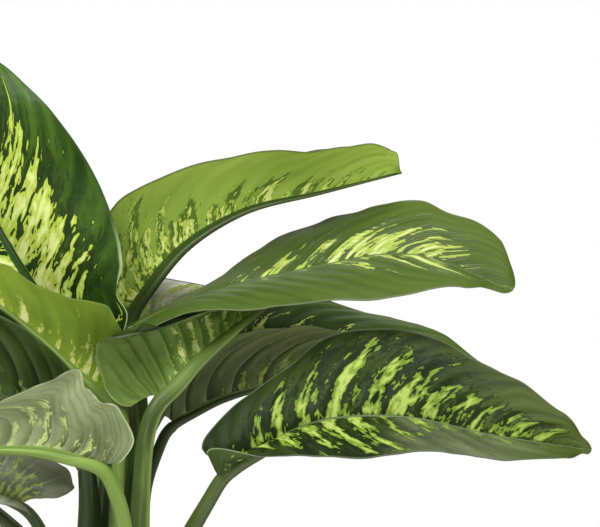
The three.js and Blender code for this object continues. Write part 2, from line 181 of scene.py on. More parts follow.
def mixed(tree, share, a, b):
    made = node(tree, "ShaderNodeMix", data_type="RGBA")
    feed(tree, made.inputs[0], share)
    feed(tree, made.inputs[6], a)
    feed(tree, made.inputs[7], b)
    return made.outputs[2]


def grain(tree, vector, scale, detail=2.0, rough=0.5, distort=0.0):
    made = node(tree, "ShaderNodeTexNoise")
    feed(tree, made.inputs["Vector"], vector)
    made.inputs["Scale"].default_value = scale
    made.inputs["Detail"].default_value = detail
    made.inputs["Roughness"].default_value = rough
    made.inputs["Distortion"].default_value = distort
    return made.outputs["Fac"]


def attribute(tree, name):
    made = node(tree, "ShaderNodeAttribute", attribute_name=name)
    parts = node(tree, "ShaderNodeSeparateXYZ")
    tree.links.new(made.outputs["Vector"], parts.inputs[0])
    return parts.outputs


def joined(tree, x, y, z):
    made = node(tree, "ShaderNodeCombineXYZ")
    for socket, value in zip(made.inputs, (x, y, z)):
        feed(tree, socket, value)
    return made.outputs[0]


def newMaterial(name):
    material = bpy.data.materials.new(name)
    material.use_nodes = True
    return material, material.node_tree, material.node_tree.nodes["Principled BSDF"]


def plainMaterial(name, colour, rough):
    material, tree, shader = newMaterial(name)
    shader.inputs["Base Color"].default_value = colour
    shader.inputs["Roughness"].default_value = rough
    return material


def bumped(tree, shader, height, strength, distance):
    bump = node(tree, "ShaderNodeBump")
    bump.inputs["Strength"].default_value = strength
    bump.inputs["Distance"].default_value = distance
    feed(tree, bump.inputs["Height"], height)
    tree.links.new(bump.outputs["Normal"], shader.inputs["Normal"])


def newGroup(name, inputs, outputs):
    group = bpy.data.node_groups.new(name, "ShaderNodeTree")
    for label, value in inputs.items():
        socket = group.interface.new_socket(name=label, in_out="INPUT", socket_type="NodeSocketFloat")
        socket.default_value = value
    for label in outputs:
        group.interface.new_socket(name=label, in_out="OUTPUT", socket_type="NodeSocketFloat")
    return group, group.nodes.new("NodeGroupInput").outputs, group.nodes.new("NodeGroupOutput").inputs


def placed(tree, group, **values):
    made = node(tree, "ShaderNodeGroup", node_tree=group)
    for label, value in values.items():
        feed(tree, made.inputs[label], value)
    return made.outputs


# A leaf's mesh has three attributes. leafMap: cm along the rib, cm out from it, seed; on a stalk, cm
# along it, turn round it, seed. leafPlace: share of the way to the tip, share of the way out to the
# margin, side veins passed. The third: how far a pale streak is favoured, painted grey sheen, painted light on a
# stalk
leafAttributes = ("leafMap", "leafPlace", "leafPale")
blotches = {
    # noises: how fine along the rib, how fine out from it
    "long": (1.5, 0.4), "lumps": (2.9, 1.3), "flecks": (7.5, 4.2), "patches": (1.9, 0.9), "tatters": (6.0, 3.5),
    "patchShare": 0.9, "tatterShare": 0.4,
    "haloSeed": 17.0,  # draws the halo's noises elsewhere than the streaks'
    "haloKeep": 0.05,  # keeps the halo close round every streak
    "maskSlope": 45.0, "maskStart": 0.5, "coreSlope": 5.2, "coreStart": -0.45, "haloSlope": 14.0,
}


def makeBlotchGroup():
    # leafPale favours the places of the pale streaks, and noises of falling size draw them and the
    # halo of another green round them. Core is the middle of a streak
    group, given, out = newGroup("leafBlotches", {"Long": 1.0, "Lumps": 0.7, "Flecks": 0.5, "Reach": 0.13},
                                 ["Mask", "Core", "Halo"])
    alongRib, outFromRib, seed = attribute(group, "leafMap")
    pale = attribute(group, "leafPale")[0]

    def uneven(label, weight, value, shift=0.0):
        fineAlong, fineOut = blotches[label]
        spot = joined(group, maths(group, "MULTIPLY", alongRib, fineAlong),
                      maths(group, "MULTIPLY", outFromRib, fineOut), maths(group, "ADD", seed, shift))
        swing = maths(group, "SUBTRACT", grain(group, spot, 1.0, 1.0, 0.5, 0.35), 0.5)
        return maths(group, "MULTIPLY_ADD", swing, weight, value)

    value = uneven("long", given["Long"], pale)
    value = uneven("lumps", given["Lumps"], value)
    value = uneven("flecks", given["Flecks"], value)
    around = uneven("patches", blotches["patchShare"], pale, blotches["haloSeed"])
    around = uneven("tatters", blotches["tatterShare"], around, blotches["haloSeed"])
    around = maths(group, "MAXIMUM", around, maths(group, "SUBTRACT", value, blotches["haloKeep"]))
    mask = maths(group, "MULTIPLY_ADD", value, blotches["maskSlope"], blotches["maskStart"], clamp=True)
    core = maths(group, "MULTIPLY_ADD", value, blotches["coreSlope"], blotches["coreStart"], clamp=True)
    halo = maths(group, "ADD", around, given["Reach"])
    halo = maths(group, "MULTIPLY", halo, blotches["haloSlope"], clamp=True)
    for label, socket in (("Mask", mask), ("Core", core), ("Halo", halo)):
        group.links.new(socket, out[label])
    return group


def makeVeinGroup():
    # Line: on a side vein, at whole numbers of the veins passed. Fine: thin lines between them.
    # Between: 1 midway between two side veins. Past: share of the way from the last one to the next
    group, given, out = newGroup("leafVeins", {"Width": 0.09, "Fine": 7.0}, ["Line", "Fine", "Between", "Past"])
    alongRib, outFromRib, seed = attribute(group, "leafMap")
    passed = attribute(group, "leafPlace")[2]
    halfOn = maths(group, "FRACT", maths(group, "ADD", passed, 0.5))
    away = maths(group, "ABSOLUTE", maths(group, "SUBTRACT", halfOn, 0.5))
    group.links.new(ranged(group, away, 0.0, given["Width"], 1.0, 0.0), out["Line"])
    group.links.new(maths(group, "MULTIPLY", away, 2.0), out["Between"])
    group.links.new(maths(group, "FRACT", passed), out["Past"])
    wander = grain(group, joined(group, alongRib, outFromRib, seed), 0.8, 1.0)
    wavering = maths(group, "MULTIPLY_ADD", wander, 0.25, passed)
    turns = maths(group, "MULTIPLY", given["Fine"], 2 * math.pi)
    lines = maths(group, "SINE", maths(group, "MULTIPLY", wavering, turns))
    group.links.new(maths(group, "MULTIPLY_ADD", lines, 0.5, 0.5), out["Fine"])
    return group


blotchGroup = makeBlotchGroup()
veinGroup = makeVeinGroup()

# What the finish of a blade's face has unless it says otherwise
usualLook = dict(
    long=1.0, flecks=0.5,  # how uneven the streaks are along their length, and in small flecks
    haloReach=0.13, haloShare=0.5,  # how far the halo goes round the streaks, and how strong it is
    footTone=0.4, marginTone=0.3, tipTone=0.4,  # what is left of mid at the foot, and added at margin and tip
    fine=0.1, lines=0.5,  # strength of the thin lines and of the side veins
    pleatShade=0.0, pleatWide=0.5, shadeTip=1.0,  # shade past a side vein, where it ends, share left at the tip
    pleatLight=0.0,  # light before a side vein
    shadeReach=0.5,  # how far out side veins, shade and light keep their strength
    gloss=0.14,
)
# Finishes of a blade's face. deep and mid are the green's two ends, pale and cream a streak and its
# core, halo the green round streaks, vein, rib and edge the lines (vein also the painted light on
# pleat crests), edgeFoot the margin near the foot, silver the painted grey sheen, feather the thin
# pale lines round streaks. fray: how broken the streaks are; rough: roughness; ribWide: half the rib's
# width at the foot, in cm
finishes = {
    "tallUpper": dict(deep=(0.003, 0.016, 0.001), mid=(0.045, 0.118, 0.003), pale=(0.36, 0.46, 0.055),
                      cream=(0.6, 0.67, 0.25), halo=(0.006, 0.018, 0.002), vein=(0.05, 0.1, 0.02),
                      rib=(0.02, 0.07, 0.008), edge=(0.03, 0.06, 0.012), edgeFoot=(0.36, 0.42, 0.24),
                      paintedSheen=(0.34, 0.46, 0.15), fray=1.1, flecks=0.12, rough=0.33, ribWide=0.42,
                      haloShare=0.8, haloReach=0.16, gloss=0.1, marginTone=0.0, lines=0.3),
    "darkUpper": dict(deep=(0.009, 0.018, 0.004), mid=(0.052, 0.078, 0.013), pale=(0.12, 0.2, 0.018),
                      cream=(0.35, 0.44, 0.1), halo=(0.006, 0.012, 0.002), vein=(0.035, 0.055, 0.014),
                      rib=(0.1, 0.15, 0.045), edge=(0.08, 0.1, 0.055), paintedSheen=(0.56, 0.6, 0.38),
                      fray=1.35, flecks=0.2, rough=0.4, ribWide=0.1, haloShare=0.75, haloReach=0.18,
                      gloss=0.06, lines=0.25, marginTone=-0.2, tipTone=0.75),
    "behindUpper": dict(deep=(0.016, 0.038, 0.005), mid=(0.064, 0.12, 0.016), pale=(0.5, 0.6, 0.12),
                        cream=(0.8, 0.86, 0.42), halo=(0.006, 0.016, 0.002), vein=(0.04, 0.07, 0.014),
                        rib=(0.1, 0.15, 0.045), edge=(0.02, 0.035, 0.01), fray=1.1, rough=0.45, ribWide=0.1,
                        haloShare=0.7, gloss=0.06, lines=0.25, pleatShade=0.6, paintedSheen=(0.95, 0.96, 0.86)),
    # the grey mid and the light grey vein lines here are a painted sheen over the green
    "greyUpper": dict(deep=(0.05, 0.065, 0.03), mid=(0.29, 0.31, 0.22), pale=(0.2, 0.27, 0.04),
                      cream=(0.3, 0.37, 0.1), halo=(0.03, 0.05, 0.015), vein=(0.34, 0.36, 0.27),
                      rib=(0.08, 0.11, 0.04), edge=(0.12, 0.14, 0.08), fray=1.5, rough=0.4, ribWide=0.1,
                      long=0.5, haloShare=0.3, lines=0.6, footTone=0.8),
    "longUpper": dict(deep=(0.032, 0.058, 0.008), mid=(0.06, 0.1, 0.012), pale=(0.29, 0.37, 0.06),
                      cream=(0.54, 0.6, 0.27), halo=(0.024, 0.046, 0.009), vein=(0.085, 0.115, 0.05),
                      rib=(0.4, 0.45, 0.26), edge=(0.11, 0.14, 0.075), feather=(0.24, 0.27, 0.18),
                      fray=1.0, flecks=0.2, rough=0.42, ribWide=0.13, haloReach=0.17, lines=0.3,
                      gloss=0.06, pleatShade=0.5),
    "lightUnder": dict(deep=(0.2, 0.32, 0.04), mid=(0.35, 0.48, 0.08), pale=(0.4, 0.52, 0.07),
                       cream=(0.72, 0.76, 0.32), halo=(0.045, 0.1, 0.01), vein=(0.25, 0.37, 0.055),
                       rib=(0.045, 0.09, 0.012), edge=(0.13, 0.2, 0.05), fray=1.5, rough=0.5, ribWide=0.5,
                       long=0.4, haloShare=0.8, lines=0.3),
    "curledUnder": dict(deep=(0.11, 0.19, 0.016), mid=(0.21, 0.31, 0.03), pale=(0.38, 0.46, 0.08),
                        cream=(0.62, 0.67, 0.28), halo=(0.2, 0.28, 0.02), vein=(0.16, 0.25, 0.03),
                        rib=(0.16, 0.25, 0.04), edge=(0.24, 0.33, 0.07), fray=1.3, rough=0.46, ribWide=0.3,
                        lines=0.15, footTone=0.8),
    "quiltedUnder": dict(deep=(0.06, 0.115, 0.018), mid=(0.155, 0.24, 0.053), pale=(0.3, 0.39, 0.07),
                         cream=(0.62, 0.67, 0.32), halo=(0.07, 0.13, 0.016), vein=(0.22, 0.3, 0.08),
                         rib=(0.14, 0.21, 0.05), edge=(0.2, 0.27, 0.09), fray=1.2, rough=0.46, ribWide=0.2,
                         lines=0.45, pleatShade=0.8, pleatLight=0.5, footTone=0.8),
    "paleUnder": dict(deep=(0.065, 0.09, 0.026), mid=(0.36, 0.42, 0.225), pale=(0.3, 0.37, 0.12),
                      cream=(0.42, 0.49, 0.19), halo=(0.22, 0.28, 0.11), vein=(0.5, 0.55, 0.38),
                      rib=(0.17, 0.27, 0.06), edge=(0.36, 0.42, 0.24), fray=1.6, rough=0.54, ribWide=0.3,
                      long=0.6, lines=0.6, fine=0.04, pleatWide=0.85, pleatShade=0.95, pleatLight=0.4,
                      shadeReach=0.1, shadeTip=0.3),
    "oliveUnder": dict(deep=(0.017, 0.026, 0.005), mid=(0.15, 0.18, 0.065), pale=(0.12, 0.18, 0.03),
                       cream=(0.24, 0.3, 0.08), halo=(0.04, 0.065, 0.014), vein=(0.2, 0.23, 0.12),
                       rib=(0.08, 0.11, 0.04), edge=(0.14, 0.17, 0.08), fray=1.6, rough=0.46, ribWide=0.3,
                       long=0.6, lines=0.45, pleatShade=0.95, pleatLight=0.75, footTone=0.8),
    "foldUnder": dict(deep=(0.025, 0.045, 0.01), mid=(0.055, 0.085, 0.024), pale=(0.2, 0.28, 0.05),
                      cream=(0.3, 0.38, 0.1), halo=(0.05, 0.09, 0.02), vein=(0.09, 0.13, 0.05),
                      rib=(0.1, 0.15, 0.05), edge=(0.22, 0.26, 0.15), fray=1.2, rough=0.46, ribWide=0.2,
                      lines=0.4),
    "shadedUnder": dict(deep=(0.008, 0.019, 0.003), mid=(0.048, 0.086, 0.012), pale=(0.12, 0.18, 0.03),
                        cream=(0.24, 0.3, 0.08), halo=(0.02, 0.045, 0.008), vein=(0.07, 0.1, 0.035),
                        rib=(0.08, 0.11, 0.04), edge=(0.08, 0.11, 0.04), fray=1.6, rough=0.42, ribWide=0.3,
                        long=0.6, lines=0.3, pleatShade=0.9, pleatLight=0.5),
}
# What all faces share
facePaint = {
    "cloudFine": 0.45, "speckFine": 9.0,  # noises, per cm
    "cloudTone": 0.45, "bulgeTone": 0.3,  # what clouds and bulges add to the share of mid
    "specks": 0.3, "speckFloor": -0.06, "streakSpecks": 0.25,
    "fadeOver": 0.45, "farVeins": 0.2,  # how side veins and pleats fade, and what is left at the margin
    "lumpShare": 0.7,  # what part of fray goes into lumps
    "featherThin": 5.0, "featherShare": 0.6,
    "ribTip": 0.3, "ribCore": 0.75,  # the rib's width at the tip, and its full colour, as shares of its width
    "edgeFrom": 0.968, "edgeFull": 0.99, "edgeShare": 0.85,
    "smoother": 0.05, "rougher": 0.09,  # how far specks change the roughness
    "lineRelief": 0.15, "speckRelief": 0.5, "streakRelief": -0.25, "relief": 0.35, "reliefDepth": 0.00035,
}


def leafGreen(tree, look, colour, at, vein):
    # from deep to mid by clouds, bulges, margin, tip and foot, then thin lines, side veins, painted light on the
    # crests and specks
    tone = maths(tree, "ADD", ranged(tree, at["clouds"], 0.32, 0.68, 0.0, facePaint["cloudTone"]),
                 maths(tree, "MULTIPLY", vein["Between"], facePaint["bulgeTone"]))
    tone = maths(tree, "ADD", tone, ranged(tree, at["across"], 0.4, 0.95, 0.0, look["marginTone"]))
    tone = maths(tree, "ADD", tone, ranged(tree, at["stationT"], 0.5, 0.95, 0.0, look["tipTone"]), clamp=True)
    tone = maths(tree, "MULTIPLY", tone, ranged(tree, at["stationT"], 0.0, 0.32, look["footTone"], 1.0))
    green = mixed(tree, tone, colour["deep"], colour["mid"])
    thinLines = maths(tree, "MULTIPLY", vein["Fine"], look["fine"])
    sideVeins = maths(tree, "MULTIPLY", maths(tree, "MULTIPLY", vein["Line"], look["lines"]), at["nearRib"])
    # crests: painted light on the slope before each side vein, in the vein colour
    crests = ranged(tree, vein["Past"], 0.5, 0.97, 0.0, look["pleatLight"])
    crests = maths(tree, "MULTIPLY", crests, at["nearRib"])
    for share in (thinLines, sideVeins, crests):
        green = mixed(tree, share, green, colour["vein"])
    specks = maths(tree, "MULTIPLY_ADD", at["specks"], facePaint["specks"], facePaint["speckFloor"], clamp=True)
    return mixed(tree, specks, green, colour["deep"])


def leafStreaks(tree, look, colour, at, vein, green):
    # halo, painted grey sheen, feather lines and the pleats' painted shade on the green, and the streaks over
    # them
    blotch = placed(tree, blotchGroup, Long=look["long"], Lumps=look["fray"] * facePaint["lumpShare"],
                    Flecks=look["fray"] * look["flecks"], Reach=look["haloReach"])
    green = mixed(tree, maths(tree, "MULTIPLY", blotch["Halo"], look["haloShare"]), green, colour["halo"])
    # painted grey sheen: a reflection put into the colour where the mesh marks it
    if "paintedSheen" in look:
        sheen = maths(tree, "MULTIPLY", ranged(tree, at["clouds"], 0.25, 0.75, 0.25, 0.75),
                      attribute(tree, "leafPale")[1], clamp=True)
        green = mixed(tree, sheen, green, colour["paintedSheen"])
    if "feather" in look:
        feather = maths(tree, "POWER", vein["Fine"], facePaint["featherThin"])
        feather = maths(tree, "MULTIPLY", feather, blotch["Halo"])
        feather = maths(tree, "MULTIPLY", feather, facePaint["featherShare"])
        green = mixed(tree, feather, green, colour["feather"])
    shade = ranged(tree, vein["Past"], 0.04, look["pleatWide"], look["pleatShade"], 0.0)
    shade = maths(tree, "MULTIPLY", shade, at["nearRib"])
    shade = maths(tree, "MULTIPLY", shade, ranged(tree, at["stationT"], 0.15, 0.6, 1.0, look["shadeTip"]))
    green = mixed(tree, shade, green, colour["deep"])
    streak = mixed(tree, blotch["Core"], colour["pale"], colour["cream"])
    streak = mixed(tree, maths(tree, "MULTIPLY", at["specks"], facePaint["streakSpecks"]), streak, colour["mid"])
    return mixed(tree, blotch["Mask"], green, streak), blotch["Mask"]


def leafRibAndEdge(tree, look, colour, at, painted):
    wide = ranged(tree, at["stationT"], 0.0, 1.0, look["ribWide"], look["ribWide"] * facePaint["ribTip"])
    core = maths(tree, "MULTIPLY", wide, facePaint["ribCore"])
    painted = mixed(tree, ranged(tree, at["outFromRib"], core, wide, 1.0, 0.0), painted, colour["rib"])
    edgeFoot = colour.get("edgeFoot", colour["edge"])
    edge = mixed(tree, ranged(tree, at["stationT"], 0.2, 0.34), edgeFoot, colour["edge"])
    onEdge = ranged(tree, at["across"], facePaint["edgeFrom"], facePaint["edgeFull"], 0.0, facePaint["edgeShare"])
    return mixed(tree, onEdge, painted, edge)


def bladeMaterial(name, look):
    look = {**usualLook, **look}
    colour = {key: (*value, 1.0) for key, value in look.items() if isinstance(value, tuple)}
    material, tree, shader = newMaterial(name)
    alongRib, outFromRib, seed = attribute(tree, "leafMap")
    stationT, across, _ = attribute(tree, "leafPlace")
    spot = joined(tree, alongRib, outFromRib, seed)
    reach = look["shadeReach"]
    at = {
        "outFromRib": outFromRib, "stationT": stationT, "across": across,
        "clouds": grain(tree, spot, facePaint["cloudFine"], 3.0, 0.55),
        "specks": grain(tree, spot, facePaint["speckFine"], 2.0, 0.6),
        "nearRib": ranged(tree, across, reach, reach + facePaint["fadeOver"], 1.0, facePaint["farVeins"]),
    }
    vein = placed(tree, veinGroup)
    green = leafGreen(tree, look, colour, at, vein)
    painted, streaks = leafStreaks(tree, look, colour, at, vein, green)
    painted = leafRibAndEdge(tree, look, colour, at, painted)
    tree.links.new(painted, shader.inputs["Base Color"])
    least, most = look["rough"] - facePaint["smoother"], look["rough"] + facePaint["rougher"]
    tree.links.new(ranged(tree, at["specks"], 0.3, 0.7, least, most), shader.inputs["Roughness"])
    shader.inputs["Specular IOR Level"].default_value = look["gloss"]
    relief = maths(tree, "MULTIPLY", at["specks"], facePaint["speckRelief"])
    relief = maths(tree, "MULTIPLY_ADD", vein["Fine"], facePaint["lineRelief"], relief)
    relief = maths(tree, "MULTIPLY_ADD", streaks, facePaint["streakRelief"], relief)
    bumped(tree, shader, relief, facePaint["relief"], facePaint["reliefDepth"])
    return material


# Stalks: deep, mid and light green; the light green is also the painted light down one side
stalkFinishes = {
    "stalkGreen": ((0.024, 0.044, 0.007), (0.06, 0.1, 0.016), (0.23, 0.34, 0.07)),
    "stalkMid": ((0.028, 0.05, 0.01), (0.06, 0.092, 0.02), (0.13, 0.17, 0.05)),
    "stalkDark": ((0.014, 0.03, 0.006), (0.035, 0.062, 0.012), (0.08, 0.12, 0.03)),
    "stalkLight": ((0.1, 0.17, 0.024), (0.17, 0.27, 0.048), (0.28, 0.39, 0.1)),
}
stalkPaint = {
    # noises: how fine along the stalk and round it, detail, roughness
    "fibres": (0.12, 11.0, 3.0, 0.6), "clouds": (0.15, 3.0, 2.0, 0.5),
    "fibreShare": 0.55, "rough": 0.45, "gloss": 0.35, "relief": 0.3, "reliefDepth": 0.0004,
}


def stalkMaterial(name, deep, mid, light):
    material, tree, shader = newMaterial(name)
    walked, turn, seed = attribute(tree, "leafMap")

    def drawn(fineAlong, fineRound, detail, rough):
        spot = joined(tree, maths(tree, "MULTIPLY", walked, fineAlong),
                      maths(tree, "MULTIPLY", turn, fineRound), seed)
        return grain(tree, spot, 1.0, detail, rough)

    fibres, clouds = drawn(*stalkPaint["fibres"]), drawn(*stalkPaint["clouds"])
    green = mixed(tree, ranged(tree, clouds, 0.3, 0.7), (*deep, 1), (*mid, 1))
    green = mixed(tree, ranged(tree, fibres, 0.5, 0.75, 0.0, stalkPaint["fibreShare"]), green, (*light, 1))
    # painted light down one side of the stalk
    green = mixed(tree, attribute(tree, "leafPale")[2], green, (*light, 1))
    tree.links.new(green, shader.inputs["Base Color"])
    shader.inputs["Roughness"].default_value = stalkPaint["rough"]
    shader.inputs["Specular IOR Level"].default_value = stalkPaint["gloss"]
    bumped(tree, shader, fibres, stalkPaint["relief"], stalkPaint["reliefDepth"])
    return material


madeFinishes = {}


def finish(name):
    if name not in madeFinishes:
        if name in stalkFinishes:
            madeFinishes[name] = stalkMaterial(name, *stalkFinishes[name])
        else:
            madeFinishes[name] = bladeMaterial(name, finishes[name])
    return madeFinishes[name]


makeStudio()
print("camera, lamps, floor and node groups made")

# canes in mm: foot and top of the axis, height of the top, radius
canes = {
    "right": {"foot": (30, -26), "top": (25, -21), "height": 288, "radius": 12},
    "left": {"foot": (-22, -14), "top": (-14, -8), "height": 288, "radius": 12},
    "back": {"foot": (6, 40), "top": (9, 30), "height": 288, "radius": 11.5},
}
caneFoot = 112  # where they end in the soil

# What a leaf has unless it says otherwise
usualLeaf = {
    "slot": "leaf_dark",
    "columns": 20,  # mesh steps to each half
    "firm": 0,  # 1 or -1: the left or the right half keeps its slope where the blade is narrow
    "lobes": (5, 5),  # mm that the foot's corners reach back past the rib's foot, left and right
    "lobeRound": 2,  # 1 makes the corners straight
    "trimLeft": [], "trimRight": [],  # where on the way, and by how many mm, the margin is let out
    "lean": (0.07, 0.1),  # how far forward a side vein has run when it meets the margin
    "crowding": 0.9,  # under 1 the side veins stand closer at the foot
    "calm": 0.75,  # how far out the bulges keep their height
    "pleat": 0.4,  # how far a bulge between two side veins leans towards the tip
    "seat": 0.55,  # how much of a bulge lies below the blade's own surface
    "evens": 0,  # how much of the bulges is lost on the way to the tip
    "ribTaper": 0.7,  # over 1 the rib keeps its thickness longer
    "streaks": (17, 0.7, 5),  # mm apart along the rib, reach across, mm wide
    "faint": 0,  # under 0 the streaks are fewer and thinner
    "paintedSheen": (1, 0, 1, 0),  # the half with the painted grey sheen, 1 or -1, from and to where, how much
}
